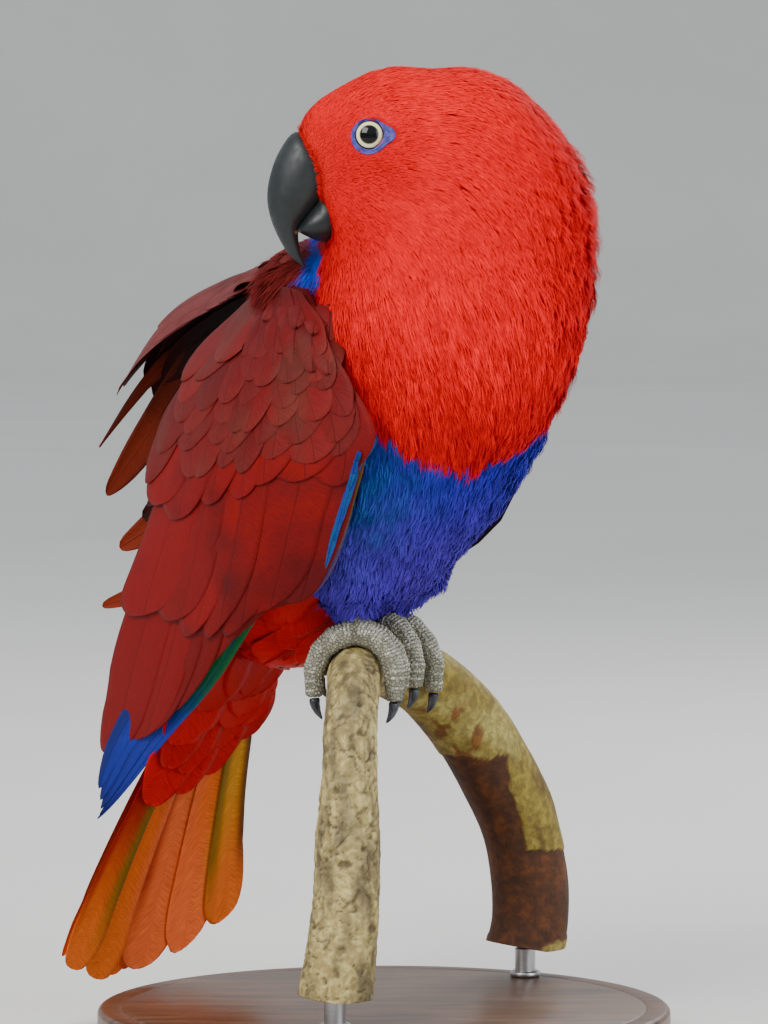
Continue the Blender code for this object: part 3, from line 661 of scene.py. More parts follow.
def triangleArrays(mesh):
    mesh.calc_loop_triangles()
    corners = np.zeros(len(mesh.loop_triangles) * 3, np.int32)
    mesh.loop_triangles.foreach_get("vertices", corners)
    return corners.reshape(-1, 3)


skinTriangles = triangleArrays(skin.data)
skinShell = BVHTree.FromPolygons([Vector(p) for p in skinPoints], skinTriangles.tolist())


def coveredShare(places, normals):
    # 1 where a wing lies close over the skin
    shell = shellOf("wing_left", "wing_right")
    start, reach = skinSizes["underWing"]
    found = np.zeros(len(places))
    for number, (place, normal) in enumerate(zip(places, normals)):
        above = Vector(place) + Vector(normal) * start * mm
        if shell.ray_cast(above, Vector(normal), reach * mm)[0] is not None:
            found[number] = 1
    return found


def rootPlaces(count, weights, spins):
    corners = skinPoints[skinTriangles]
    areas = np.linalg.norm(np.cross(corners[:, 1] - corners[:, 0], corners[:, 2] - corners[:, 0]),
                           axis=1)
    chance = areas * weights
    picked = spins.choice(len(areas), size=count, p=chance / chance.sum())
    a, b = spins.random(count), spins.random(count)
    flip = a + b > 1
    a[flip], b[flip] = 1 - a[flip], 1 - b[flip]
    mix = np.stack([1 - a - b, a, b], axis=1)[:, :, None]
    places = (corners[picked] * mix).sum(1)
    normals = unit((skinNormals[skinTriangles[picked]] * mix).sum(1))
    return places, normals


def clumpsFor(places, inClump, spins):
    # each clump is one feather: its tufts gather towards a tip of their own
    count = max(len(places) // inClump, 8)
    chosen = spins.choice(len(places), size=count, replace=False)
    tree = KDTree(count)
    for number, index in enumerate(chosen):
        tree.insert(places[index], number)
    tree.balance()
    nearest = np.array([tree.find(place)[1] for place in places])
    return chosen[nearest], nearest, count


def fringe(points):
    # feathers stand out a little on the nape and along the lower edge of the bib
    height = points[:, 2] / mm
    nape = blendStep(44, 60, points[:, 0] / mm) * blendStep(225, 245, height)
    nape = nape * blendStep(312, 290, height)
    edge = np.exp(-(((height - bibHeight(points) - 3) / 5) ** 2))
    return (3.4 * nape + 1.6 * edge) * mm


def tuftArrays(kind, weights, seed, count):
    sizes = coatSizes[kind]
    spins = np.random.default_rng(coatSizes["seed"] + seed)
    places, normals = rootPlaces(count, weights, spins)
    clear = outsideRings(places)
    places, normals, count = places[clear], normals[clear], int(clear.sum())
    way = lie(places, normals)
    home, clump, clumps = clumpsFor(places, sizes["inClump"], spins)
    across = np.cross(way, normals)
    sway = spins.normal(0, sizes["sway"], clumps)[clump] + spins.normal(0, 0.04, count)
    length = sizes["length"] * mm * (0.88 + 0.24 * spins.random(clumps)[clump])
    length = length * (0.8 + 0.4 * spins.random(count))
    length = length * (1 - 0.4 * blendStep(188, 164, places[:, 2] / mm))
    uneven = sizes["uneven"]
    rise = coatDepth(places) * (1 - uneven * spins.random(clumps)[clump])
    rise = rise * (0.85 + 0.3 * spins.random(count))
    rise = rise + fringe(places) * (spins.random(clumps) ** 2)[clump]
    pull = places[home] - places
    pull = (pull - normals * dot(pull, normals)) * sizes["gather"]
    heading = unit(way + across * sway[:, None])
    roll = np.radians(sizes["roll"]) * spins.uniform(-1, 1, count)
    flat = across * np.cos(roll)[:, None] + normals * np.sin(roll)[:, None]
    width = sizes["width"] * mm * (0.75 + 0.5 * spins.random(count))
    sink = 0.4 * mm
    rows = []
    for share, wide, lift in ((0, 0.8, 0), (0.38, 1.0, 0.72), (0.74, 0.72, 0.98)):
        centre = (places + heading * (length * share)[:, None] + pull * share**1.5
                  + normals * (rise * lift - sink)[:, None])
        half = flat * (width * wide / 2)[:, None]
        rows += [centre - half, centre + half]
    droop = 0.95 - 0.2 * spins.random(count)
    rows.append(places + heading * length[:, None] + pull
                + normals * (rise * droop - sink)[:, None])
    points = np.stack(rows, axis=1).reshape(-1, 3)
    base = np.arange(count)[:, None, None] * 7
    pattern = np.array([(0, 1, 3), (0, 3, 2), (2, 3, 5), (2, 5, 4), (4, 5, 6)])
    faces = (base + pattern[None]).reshape(-1, 3)
    shade = (1 - uneven * 0.5 + uneven * spins.random(clumps)[clump])
    shade = shade * (0.88 + 0.24 * spins.random(count))
    colour = coatColour(places, normals) * shade[:, None]
    # painted shade: each tuft is darkest at its root, under the tufts over it, and grows a little
    # lighter towards its tip
    root = sizes["rootShade"]
    rowShade = np.array((root, root, 0.9, 0.9, 1.04, 1.04, 1.12))
    colours = (colour[:, None, :] * rowShade[None, :, None]).reshape(-1, 3)
    roots = unwrapPlace(places)
    patch = np.array([(0, 0), (1, 0), (0, 0.4), (1, 0.4), (0, 0.75), (1, 0.75), (0.5, 1)]) * 0.003
    bakeMap = (roots[:, None, :] + patch[None]).reshape(-1, 2)
    return points, faces, colours, bakeMap


def tuftPieces(name, kind, weights, seed, slot):
    count = coatSizes[kind]["count"] // 1
    limit = 38000
    parts = max(1, math.ceil(count / limit))
    for number in range(parts):
        points, faces, colours, bakeMap = tuftArrays(kind, weights, seed + number, count // parts)
        piece = meshObject(f"{name}{number + 1}", points, faces, {"OFBake": bakeMap}, colours)
        putOn(piece, coatFinish, slot)
    print("coat:", name, count, "tufts")


def makeCoat():
    middles = skinPoints[skinTriangles].mean(1)
    normals = unit(skinNormals[skinTriangles].mean(1))
    hidden = coveredShare(middles, normals)
    bared = 1 - coatSizes["sparedUnderWing"] * hidden
    height = middles[:, 2] / mm
    face = np.maximum(blendStep(*coatSizes["shortAtBill"], billGap(middles)),
                      blendStep(*coatSizes["shortAtEye"], eyeGap(middles)))
    onHead = blendStep(*coatSizes["headFrom"], height)
    below = 1 - onHead
    onBib = blendStep(*coatSizes["bibEdge"], height - bibHeight(middles))
    least = coatSizes["leastWeight"]
    tuftPieces("bodyCoat", "body", bared * below * (1 - onBib) + least, 1, "feather_blue")
    tuftPieces("bibCoat", "bib", bared * below * onBib + least, 10, "feather_red")
    tuftPieces("headCoat", "head", bared * onHead * (1 - face) + least, 20, "feather_red")
    tuftPieces("faceCoat", "face", bared * onHead * face + least, 40, "feather_red")


makeCoat()


# Wings: finer feathers on the same guide surfaces as the solids

wingLines = {
    "right": [
        [(-3, -38, 116), (19, -50, 93), (29, -52, 70), (21, -50, 45), (5, -44, 17)],
        [(-14, -32, 117), (-5, -49, 87), (-6, -55, 58), (-13, -53, 30), (-24, -44, 4)],
        [(-26, -22, 116), (-31, -42, 86), (-37, -49, 50), (-49, -42, 10), (-68, -30, -30)],
        [(-40, -12, 114), (-65, -22, 83), (-80, -28, 42), (-97, -25, 0), (-109, -16, -44)],
    ],
    "left": [
        [(7, 41, 112), (23, 53, 83), (19, 54, 51), (-48, 46, 22), (-136, 24, 0)],
        [(-8, 36, 122), (-12, 52, 100), (-46, 53, 74), (-92, 42, 52), (-138, 23, 26)],
        [(-22, 22, 124), (-48, 29, 123), (-78, 30, 116), (-108, 26, 98), (-133, 16, 56)],
        [(-36, 8, 121), (-58, 5, 114), (-79, 3, 105), (-98, 5, 95), (-116, 8, 80)],
    ],
}
handLines = {
    "right": [
        [(20, -48, 78), (22, -47, 60), (8, -46, 32), (-20, -42, 12), (-45, -35, -13),
         (-72, -29, -36), (-106.5, -17, -69)],
        [(8, -50, 78), (10, -50, 60), (-12, -49, 35), (-38, -43, 10), (-62, -34, -14),
         (-88, -26, -40), (-109.5, -19, -69)],
        [(-4, -50, 76), (2, -52, 60), (-26, -48, 38), (-54, -41, 12), (-76, -32, -12),
         (-99, -26, -38), (-111.6, -20.5, -66.5)],
    ],
    "left": [
        [(20, 49, 78), (24, 50, 60), (10, 51, 36), (-20, 48, 18), (-50, 40, 4), (-80, 32, -8),
         (-112, 22, -22)],
        [(8, 51, 80), (12, 53, 60), (-12, 52, 42), (-42, 46, 28), (-68, 38, 14), (-92, 30, 0),
         (-114, 21, -20)],
        [(-4, 50, 84), (2, 54, 62), (-28, 50, 50), (-58, 44, 38), (-82, 36, 22), (-102, 26, 4),
         (-115, 20, -17)],
    ],
}


class GuideSurface:
    # a smooth surface through guide lines: u runs across them and v along them
    def __init__(self, lines, side):
        self.lines = np.swapaxes(birdPoint(lines), 0, 1)
        self.side = side

    def flat(self, u, v):
        across = curveAt(self.lines, v)
        return curveAcross(across, u)

    def at(self, u, v, height):
        step = 0.01
        width = self.flat(u + step, v) - self.flat(u - step, v)
        run = self.flat(u, np.minimum(v + step, 1)) - self.flat(u, np.maximum(v - step, 0))
        normal = unit(np.cross(width, run) * self.side)
        return self.flat(u, v) + normal * height[:, None], normal


def curveAcross(rows, share):
    stops = rows.shape[1]
    inside = np.clip(share, 0, 1)
    place = inside * (stops - 1)
    first = np.minimum(place.astype(int), stops - 2)
    t = (place - first)[:, None]
    index = np.arange(len(share))
    found = through(*(rows[index, np.clip(first + k, 0, stops - 1)] for k in (-1, 0, 1, 2)), t)
    # past either edge the surface runs on straight
    low, high = np.minimum(share, 0)[:, None], np.maximum(share - 1, 0)[:, None]
    before, after = rows[:, 1] - rows[:, 0], rows[:, -1] - rows[:, -2]
    return found + (stops - 1) * (before * low + after * high)


class FeatherPile:
    # gathers feathers into one mesh, with a barb map in millimetres and a place on the bake sheet
    def __init__(self):
        self.points, self.faces, self.barbs, self.bakes, self.colours = [], [], [], [], []
        self.count, self.feathers = 0, 0

    def add(self, top, bottom, barbs, colours, under, bakePlace, flipped):
        faces = doubleFaces(featherForm["rows"], featherForm["columns"])
        self.faces.append((faces[:, ::-1] if flipped else faces) + self.count)
        self.points += [top, bottom]
        self.barbs += [barbs, barbs]
        self.colours += [colours, under]
        self.bakes += [bakePlace, bakePlace]
        self.count += 2 * len(top)
        self.feathers += 1

    def made(self, name):
        cells = math.ceil(math.sqrt(self.feathers * 2))
        placed = []
        for number, place in enumerate(self.bakes):
            column, row = number % cells, number // cells
            placed.append((place * 0.9 + 0.05 + np.array((column, row))) / cells)
        return meshObject(name, np.vstack(self.points), np.vstack(self.faces),
                          {"barbMap": np.vstack(self.barbs), "OFBake": np.vstack(placed)},
                          np.vstack(self.colours))


featherForm = {
    "rows": 23,
    "columns": 11,
    "thickness": 0.2,
    "camber": 0.1,
    "fray": 0.03,
    "split": 0.3,
}


def addFeather(pile, surface, start, end, halfWidth, lift, look, spins, lean=0.0):
    rows, columns = featherForm["rows"], featherForm["columns"]
    steps = 1 - (1 - np.linspace(0, 1, rows)) ** 1.7
    webs = np.linspace(-1, 1, columns)
    tipStart, power = look["tipStart"], look["tipPower"]
    late = np.clip((steps - tipStart) / (1 - tipStart), 0, 1)
    tip = (1 - late**power) ** (1 / power)
    root = look["rootWidth"] + (1 - look["rootWidth"]) * blendStep(0, 0.45, steps)
    width = np.maximum(root * tip, 0.05)
    turn = spins.normal(0, look["sway"]) * steps**2
    side, along = np.meshgrid(webs, steps)
    wide = width[:, None] * np.ones(columns)
    # the webs ripple, part here and there, and fray at the tip
    ripple = 0.05 * np.sin(along * look["ripples"] + spins.uniform(0, 6.3)) * np.abs(side)
    parting, webSide = spins.uniform(0.45, 0.92), spins.choice((-1, 1))
    deep = featherForm["split"] * spins.random()
    notch = deep * np.exp(-(((along - parting) / 0.03) ** 2)) * (side * webSide > 0)
    late = blendStep(0.7, 0.92, along) * blendStep(1.0, 0.95, along)
    fray = featherForm["fray"] * spins.random(columns)[None, :] * late
    wide = wide * (1 + ripple) * (1 - notch)
    u = start[0] + (end[0] - start[0]) * along + (side * wide + turn[:, None]) * halfWidth
    v = start[1] + (end[1] - start[1]) * along * (1 - fray)
    jitter = spins.normal(0, look["lift"])
    height = (lift[0] + (lift[1] - lift[0]) * along + jitter * along
              - featherForm["camber"] * look["camber"] * side**2 + lean * side * wide) * mm
    top, normal = surface.at(u.ravel(), v.ravel(), height.ravel())
    thin = (featherForm["thickness"] * (1 - 0.75 * side**2) * (1 - 0.5 * along)).ravel() * mm
    bottom = top - normal * np.maximum(thin, 0.02 * mm)[:, None]
    sheet = top.reshape(rows, columns, 3)
    spine = sheet[:, columns // 2]
    length = np.concatenate([[0], np.cumsum(np.linalg.norm(np.diff(spine, axis=0), axis=1))]) / mm
    halfSpan = np.linalg.norm(sheet[:, -1] - sheet[:, 0], axis=1) / 2 / mm
    shift = spins.uniform(0, 400)
    barbs = np.stack([(side * halfSpan[:, None]).ravel(),
                      (length[:, None] * np.ones(columns)).ravel() + shift], axis=1)
    across = np.full(along.size, (start[0] + end[0]) / 2)
    colours = look["colour"](along.ravel(), side.ravel(), across, top, spins)
    # painted shade: unless the look gives its own colour, the under sheet is the top colour darkened
    # to 0.8
    below = colours * 0.8
    if look["under"]:
        below = look["under"](along.ravel(), side.ravel(), across, top, spins)
    bakePlace = np.stack([(side * wide).ravel() / 2 + 0.5, along.ravel()], axis=1)
    pile.add(top, bottom, barbs, colours, below, bakePlace, surface.side < 0)


class LeafPlace:
    # the strip under one loose feather, from root to tip over the solids
    side = 1

    def __init__(self, shell, root, tip, middle, halfWidth):
        share = np.linspace(0, 1, 6)[:, None]
        straight = root + (tip - root) * share
        self.out = unit(straight - middle)
        line = []
        for point, out in zip(straight, self.out):
            hit = shell.ray_cast(Vector(point + out * 50 * mm), Vector(-out), 100 * mm)[0]
            line.append(point if hit is None else np.array(hit))
        line = np.array(line)
        soft = line.copy()
        soft[1:-1] = (line[:-2] + line[1:-1] * 2 + line[2:]) / 4
        self.line = soft
        self.halfWidth = halfWidth * mm

    def at(self, u, v, height):
        run = unit(curveAt(self.line, np.minimum(v + 0.02, 1))
                   - curveAt(self.line, np.maximum(v - 0.02, 0)))
        across = unit(np.cross(run, curveAt(self.out, v)))
        normal = np.cross(across, run)
        spine = curveAt(self.line, v)
        return spine + across * u[:, None] * self.halfWidth + normal * height[:, None], normal


def addLeaves(pile, shell, roots, tips, middle, count, halfWidth, lift, look, spins, lean=0.0):
    # a row of loose feathers: roots and tips each run along a line in the bird's frame
    rootLine, tipLine = birdPoint(roots), birdPoint(tips)
    for number in range(count):
        share = np.array([(number + 0.5 + spins.normal(0, 0.08)) / count])
        reach = 1 + spins.normal(0, 0.04)
        root = curveAt(rootLine, share)[0]
        tip = root + (curveAt(tipLine, share)[0] - root) * reach
        place = LeafPlace(shell, root, tip, birdPoint(middle), halfWidth)
        addFeather(pile, place, (0, 0), (0, 1), 1.0, lift, look, spins, lean)


wingTones = {
    "maroon": tone(122, 8, 10),
    "darkMaroon": tone(82, 4, 8),
    "crimson": tone(132, 5, 4),
    "deepCrimson": tone(112, 3, 3),
    "grey": tone(128, 48, 42),
    "dull": tone(92, 44, 32),
    "brownPink": tone(116, 50, 48),
    "rust": tone(140, 44, 16),
    "blackBrown": tone(26, 14, 10),
    "primaryBlue": tone(26, 44, 150),
    "primaryGreen": tone(14, 112, 34),
    "primaryDark": tone(18, 20, 50),
    "edgeTurquoise": tone(10, 92, 132),
    "edgeBlue": tone(28, 46, 168),
}


def shaded(colour, along, side, tipTone, edge, spins):
    share = 0.5 * blendStep(0.55, 1.0, along) * edge + 0.35 * edge * np.abs(side) ** 4
    made = mixTone(colour, tipTone, np.clip(share, 0, 1))
    # painted shade: each feather is darker towards its root, where the feathers over it cover it
    dark = 0.6 + 0.4 * blendStep(0.0, 0.6, along)
    return made * (dark * (0.9 + 0.2 * spins.random()))[:, None]


def evenShare(value, like):
    return np.full(len(like), value)


def scaleColour(along, side, across, points, spins):
    base = mixTone(wingTones["maroon"], wingTones["darkMaroon"],
                   evenShare(0.7 * spins.random(), along))
    worn = np.clip(roughField(points, 17 * mm, 11) + 0.3 * roughField(points, 3 * mm, 14), 0, 1)
    base = mixTone(base, wingTones["dull"], 0.6 * worn)
    return shaded(base, along, side, wingTones["grey"], 0.5, spins)


def covertColour(along, side, across, points, spins):
    base = mixTone(wingTones["crimson"], wingTones["maroon"],
                   evenShare(0.8 * spins.random(), along))
    worn = np.clip(roughField(points, 20 * mm, 12), 0, 1)
    base = mixTone(base, wingTones["darkMaroon"], 0.9 * worn)
    return shaded(base, along, side, wingTones["maroon"], 0.5, spins)


def secondaryColour(along, side, across, points, spins):
    base = mixTone(wingTones["crimson"], wingTones["deepCrimson"],
                   evenShare(spins.random(), along))
    front = blendStep(0.2, 0.0, across) * blendStep(-0.1, -0.9, side)
    green = mixTone(base, wingTones["primaryGreen"], front * blendStep(0.2, 0.5, along))
    green = mixTone(green, wingTones["primaryBlue"], front * blendStep(0.55, 0.9, along))
    return shaded(green, along, side, wingTones["maroon"], 0.3, spins)


def primaryColour(along, side, across, points, spins):
    base = mixTone(wingTones["primaryDark"], wingTones["primaryBlue"],
                   0.3 + 0.7 * blendStep(0.5, -0.6, side))
    green = blendStep(-0.1, -0.7, side) * blendStep(0.82, 0.66, along)
    base = mixTone(base, wingTones["primaryGreen"], green)
    return shaded(base, along, side, wingTones["primaryBlue"], 0.4, spins)


def backColour(along, side, across, points, spins):
    # brownish pink on the top of the far wing, partly its colour and partly painted light from
    # above, maroon down its side, and near black at its front edge, painted shade between the wings
    top = blendStep(0.4, 0.7, across)
    base = mixTone(evenTone("maroon", along), wingTones["brownPink"],
                   np.clip(top * (0.7 + 0.4 * spins.random()), 0, 1))
    base = mixTone(base, wingTones["darkMaroon"],
                   0.6 * np.clip(roughField(points, 9 * mm, 13), 0, 1))
    base = mixTone(base, wingTones["blackBrown"], 0.85 * blendStep(0.15, 0.05, across))
    return shaded(base, along, side, wingTones["brownPink"], 0.4 * top[0], spins)


def farColour(along, side, across, points, spins):
    # the under side of the far wing is nearly black at the roots, dark feathers in painted shade,
    # and rusty at the tips, partly painted light shining through them
    lit = blendStep(0.5, 0.75, along)
    base = mixTone(evenTone("blackBrown", along), wingTones["rust"],
                   lit * (0.75 + 0.25 * spins.random()))
    base = mixTone(base, wingTones["blackBrown"], 0.55 * side**2 * blendStep(1, 0.9, along))
    return shaded(base, along, side, wingTones["rust"], 0.3, spins)


# near black undersides: dark feathers darkened further with painted shade, as they face away from
# the light
def darkColour(along, side, across, points, spins):
    return shaded(evenTone("blackBrown", along), along, side, wingTones["darkMaroon"], 0.6, spins)


def edgeColour(along, side, across, points, spins):
    base = mixTone(wingTones["edgeTurquoise"], wingTones["edgeBlue"],
                   evenShare(spins.random(), along))
    return shaded(base, along, side, wingTones["edgeTurquoise"], 0.6, spins)


def mantleColour(along, side, across, points, spins):
    base = mantleTone(evenShare(spins.uniform(-0.3, 0.5), along))
    return shaded(base, along, side, wingTones["edgeTurquoise"], 0.5, spins)


def evenTone(name, like):
    return np.tile(wingTones[name], (len(like), 1))


def lookOf(tipStart, tipPower, rootWidth, colour, under=None, **changes):
    look = {"tipStart": tipStart, "tipPower": tipPower, "rootWidth": rootWidth, "colour": colour,
            "under": under, "lift": 0.18, "sway": 0.12, "camber": 4.0, "ripples": 9}
    return look | changes


# For each row of a wing: look, how many, overlap, where it starts, where it ends at the four
# guide lines, and the heights of roots and tips over the surface in millimetres
scaleLook = lookOf(0.4, 2.1, 0.8, scaleColour, lift=0.12, sway=0.26, camber=4.6)
covertLook = lookOf(0.55, 2.3, 0.7, covertColour, lift=0.12, sway=0.16)
tertialLook = lookOf(0.8, 2.6, 0.6, covertColour, lift=0.14)
quillLook = lookOf(0.84, 2.5, 0.6, secondaryColour, lift=0.14)
primaryLook = lookOf(0.72, 2.4, 0.6, primaryColour, lift=0.1, sway=0.03)
wingRows = {
    "right": [
        (quillLook, 8, 1.7, 0.4, (0.96, 0.98, 1, 1), (-1.4, 0.2)),
        (tertialLook, 7, 1.7, 0.36, (0.99, 0.93, 0.8, 0.72), (0.5, 1.2)),
        (covertLook, 7, 1.7, 0.26, (0.63, 0.55, 0.54, 0.52), (1.2, 1.9)),
        (scaleLook, 8, 1.8, 0.22, (0.545, 0.485, 0.475, 0.46), (1.7, 2.3)),
        (scaleLook, 7, 1.7, 0.18, (0.48, 0.43, 0.42, 0.405), (2.1, 2.7)),
        (scaleLook, 8, 1.8, 0.14, (0.42, 0.375, 0.37, 0.36), (2.45, 3.05)),
        (scaleLook, 7, 1.7, 0.1, (0.355, 0.325, 0.32, 0.31), (2.8, 3.35)),
        (scaleLook, 6, 1.7, 0.06, (0.29, 0.27, 0.265, 0.26), (3.1, 3.65)),
        (scaleLook, 5, 1.6, 0.02, (0.22, 0.21, 0.21, 0.2), (3.4, 3.95)),
    ],
}
farBack = lookOf(0.5, 2.2, 0.75, backColour, darkColour, lift=0.12, sway=0.16)
farTop = lookOf(0.5, 2.2, 0.75, backColour, lift=0.12, sway=0.16)
farTertial = lookOf(0.72, 2.4, 0.65, backColour, darkColour, lift=0.1, sway=0.08)
wingRows["left"] = [
    (farTertial, 9, 1.8, 0.36, (0.74, 0.74, 0.86, 0.975), (0.5, 1.2)),
    (farTertial, 8, 1.7, 0.3, (0.66, 0.64, 0.7, 0.78), (0.9, 1.5)),
]
for row in wingRows["right"][2:]:
    look = farBack if row[3] > 0.2 else farTop
    wingRows["left"].append((look, *row[1:5], tuple(height * 0.6 for height in row[5])))
# The far wing's spread quills: places across of root and tip, how far the tip reaches, half width
# in millimetres, and whether it is one of the dark ones between
farQuills = [
    (0.47, 0.69, 0.985, 2.6, False), (0.6, 0.59, 0.8, 3.6, True), (0.66, 0.48, 0.96, 4.5, False),
    (0.5, 0.42, 0.87, 5.0, True), (0.5, 0.27, 0.95, 4.4, False), (0.4, 0.33, 0.9, 4.6, True),
    (0.28, 0.18, 0.92, 4.4, True), (0.24, 0.06, 1.0, 4.8, False),
]
# Loose feathers over the shoulders and the back: roots and tips along lines, how many, and
# their half width
shoulderRows = [
    ([(8, -40, 108), (-8, -36, 114), (-30, -23, 116)],
     [(17, -53, 89), (-5, -51, 92), (-43, -34, 95)], 6, 5.8),
    ([(5, -34, 116), (-8, -30, 120), (-26, -18, 121)],
     [(13, -47, 99), (-4, -44, 103), (-33, -29, 106)], 6, 5.4),
    ([(1, -28, 122), (-10, -22, 125), (-24, -12, 126), (-30, -2, 126)],
     [(8, -40, 109), (-5, -36, 113), (-26, -24, 115), (-38, -10, 116)], 7, 4.8),
    ([(-14, -20, 129), (-22, -8, 130), (-26, 4, 130)],
     [(-14, -31, 119), (-30, -16, 121), (-37, 0, 121)], 6, 4.6),
]
backRows = [
    ([(-36, -6, 118), (-38, 8, 120), (-26, 30, 118)], [(-56, -8, 104), (-60, 8, 108),
                                                       (-48, 34, 112)], 5, 7.0),
    ([(-24, -8, 124), (-26, 8, 126), (-14, 28, 124)], [(-44, -8, 114), (-46, 8, 118),
                                                       (-34, 32, 120)], 5, 7.0),
]


def rowEnd(ends, u):
    return float(np.interp(np.clip(u, 0, 1) * 3, range(4), ends))


def narrowing(reach):
    # the near wing is folded in most where its second tier ends
    return blendStep(0.42, 0.6, reach) * blendStep(0.95, 0.8, reach)


def makeWing(side, hand):
    arm = GuideSurface(wingLines[side], hand)
    strip = GuideSurface(handLines[side], hand)
    spins = np.random.default_rng(7 if side == "right" else 8)
    pile = FeatherPile()
    for number in range(5):
        u = (number + 0.5) / 5
        look = primaryLook if hand > 0 or u > 0.4 else lookOf(0.72, 2.4, 0.6, darkColour)
        addFeather(pile, strip, (0.1 + 0.8 * u, 0.05), (0.1 + 0.75 * u, 1 - 0.09 * u), 0.24,
                   (-0.6, -3.6), look, spins, -0.6)
    if side == "left":
        for root, u, reach, half, dark in farQuills:
            look = lookOf(0.84, 2.3, 0.6, secondaryColour, darkColour if dark else farColour,
                          sway=0.05)
            span = np.linalg.norm(arm.flat(np.array([1.0]), np.array([0.85]))
                                  - arm.flat(np.array([0.0]), np.array([0.85]))) / mm
            addFeather(pile, arm, (root, 0.4), (u, reach), half / span,
                       (-1.2 if dark else -0.4, -0.8 if dark else 0), look, spins, -0.5)
    for look, count, overlap, start, ends, lift in wingRows[side]:
        for number in range(count):
            u = (number + 0.5 + spins.normal(0, 0.12)) / count
            end = rowEnd(ends, u) + spins.normal(0, 0.012)
            fold = 1 if hand > 0 else 0
            spread = 0.96 - fold * (0.04 + 0.06 * float(narrowing(end)))
            rootSpread = 0.91 - 0.17 * fold * (start > 0.3)
            front = 0.1 * (1 - fold) * (1 - u)
            addFeather(pile, arm, (0.06 + front + rootSpread * u, start),
                       (0.03 + front + spread * u, end),
                       overlap / 2 / count, lift, look, spins, -0.35)
    return pile.made("wing" + side.capitalize())


def makeShoulders():
    # loose feathers where the wings meet the back and the neck
    shell = shellOf("torso", "neck", "wing_left", "wing_right")
    spins = np.random.default_rng(17)
    pile = FeatherPile()
    backLook = lookOf(0.5, 2.2, 0.75, scaleColour, sway=0.16, camber=22)
    shoulderLook = lookOf(0.4, 2.1, 0.8, scaleColour, lift=0.12, sway=0.2, camber=12)
    for roots, tips, count, half in backRows:
        addLeaves(pile, shell, roots, tips, (-14, 4, 70), count, half, (-2.4, -1.2), backLook, spins)
    for number, (roots, tips, count, half) in enumerate(shoulderRows):
        rise = 0.3 * number
        addLeaves(pile, shell, roots, tips, (-8, -4, 84), count, half, (-1.6 + rise, -0.2 + rise),
                  shoulderLook, spins, 0.3)
    mantleLook = lookOf(0.5, 2.0, 0.6, mantleColour, sway=0.2)
    addLeaves(pile, shell, [(-2, -26, 128), (-10, -17, 131)], [(-4, -35, 116), (-15, -27, 117)],
              (0, 0, 90), 4, 2.0, (-0.4, 1.8), mantleLook, spins, 0.2)
    return pile.made("shoulders")


def makeWingEdge():
    # narrow turquoise and blue feathers between the wing's front edge and the flank
    shell = shellOf("torso", "wing_right")
    spins = np.random.default_rng(19)
    pile = FeatherPile()
    look = lookOf(0.4, 1.9, 0.6, edgeColour, sway=0.2)
    addLeaves(pile, shell, [(31, -46, 84), (27, -47, 67), (20, -46, 51)],
              [(27, -49, 64), (20, -48, 47), (11, -46, 29)], (10, 0, 60), 13, 1.3, (-0.8, 0.5),
              look, spins, -0.2)
    return pile.made("wingEdge")


def makeWingFlesh(name, hand):
    # the arm under the coverts: a soft lens on the guide surface
    arm = GuideSurface(wingLines[name], hand)
    rows, columns = 15, 13
    share = np.linspace(0, 1, rows)
    across = np.linspace(0, 1, columns)
    side, along = np.meshgrid(across, share)
    front = 0.02 if hand > 0 else 0.12
    u, v = front + (0.95 - front) * side, 0.5 * along
    roundEdge = np.sin(np.pi * side) ** 0.5 * np.minimum(1, 0.3 + 3 * along)
    over = (3.6 if hand > 0 else 1.7) * roundEdge * (1 - 0.8 * along)
    under = -6.0 * roundEdge * (1 - 0.45 * along) - 0.05
    upper = arm.at(u.ravel(), v.ravel(), over.ravel() * mm)[0]
    lower = arm.at(u.ravel(), v.ravel(), under.ravel() * mm)[0]
    points = np.vstack([upper, lower])
    # painted shade: the arm shows only in gaps between feathers, so it is coloured darker than the
    # darkest maroon
    colours = np.tile(wingTones["darkMaroon"] * 0.8, (len(points), 1))
    made = meshObject("wingFlesh" + name.capitalize(), points, doubleFaces(rows, columns),
                      colours=colours)
    fixNormals(made)
    return made


for side, hand in (("right", 1), ("left", -1)):
    putOn(makeWing(side, hand), vaneFinish, "feather_maroon", "wing_" + side)
    putOn(makeWingFlesh(side, hand), coatFinish, "feather_maroon")
putOn(makeShoulders(), vaneFinish, "feather_maroon")
putOn(makeWingEdge(), vaneFinish, "feather_blue")
print("wings feathered")


# Tail: twelve long feathers, fanned and rolled, with coverts over and under their roots

tailShape = {
    "root": (-58, 0, 2),
    "rootHalf": 15,
    "tips": {-1: (-112, -34, -112), 0: (-103, 0, -120), 1: (-85, 34, -97)},
    "bow": 14,
}
tailTones = {
    "red": tone(176, 12, 5),
    "orange": tone(250, 112, 36),
    "salmon": tone(255, 118, 58),
    "tip": tone(255, 122, 40),
    "olive": tone(122, 112, 24),
    "yellow": tone(236, 164, 34),
    "brown": tone(64, 36, 16),
    "scarlet": tone(236, 4, 3),
    "deepRed": tone(190, 6, 4),
}
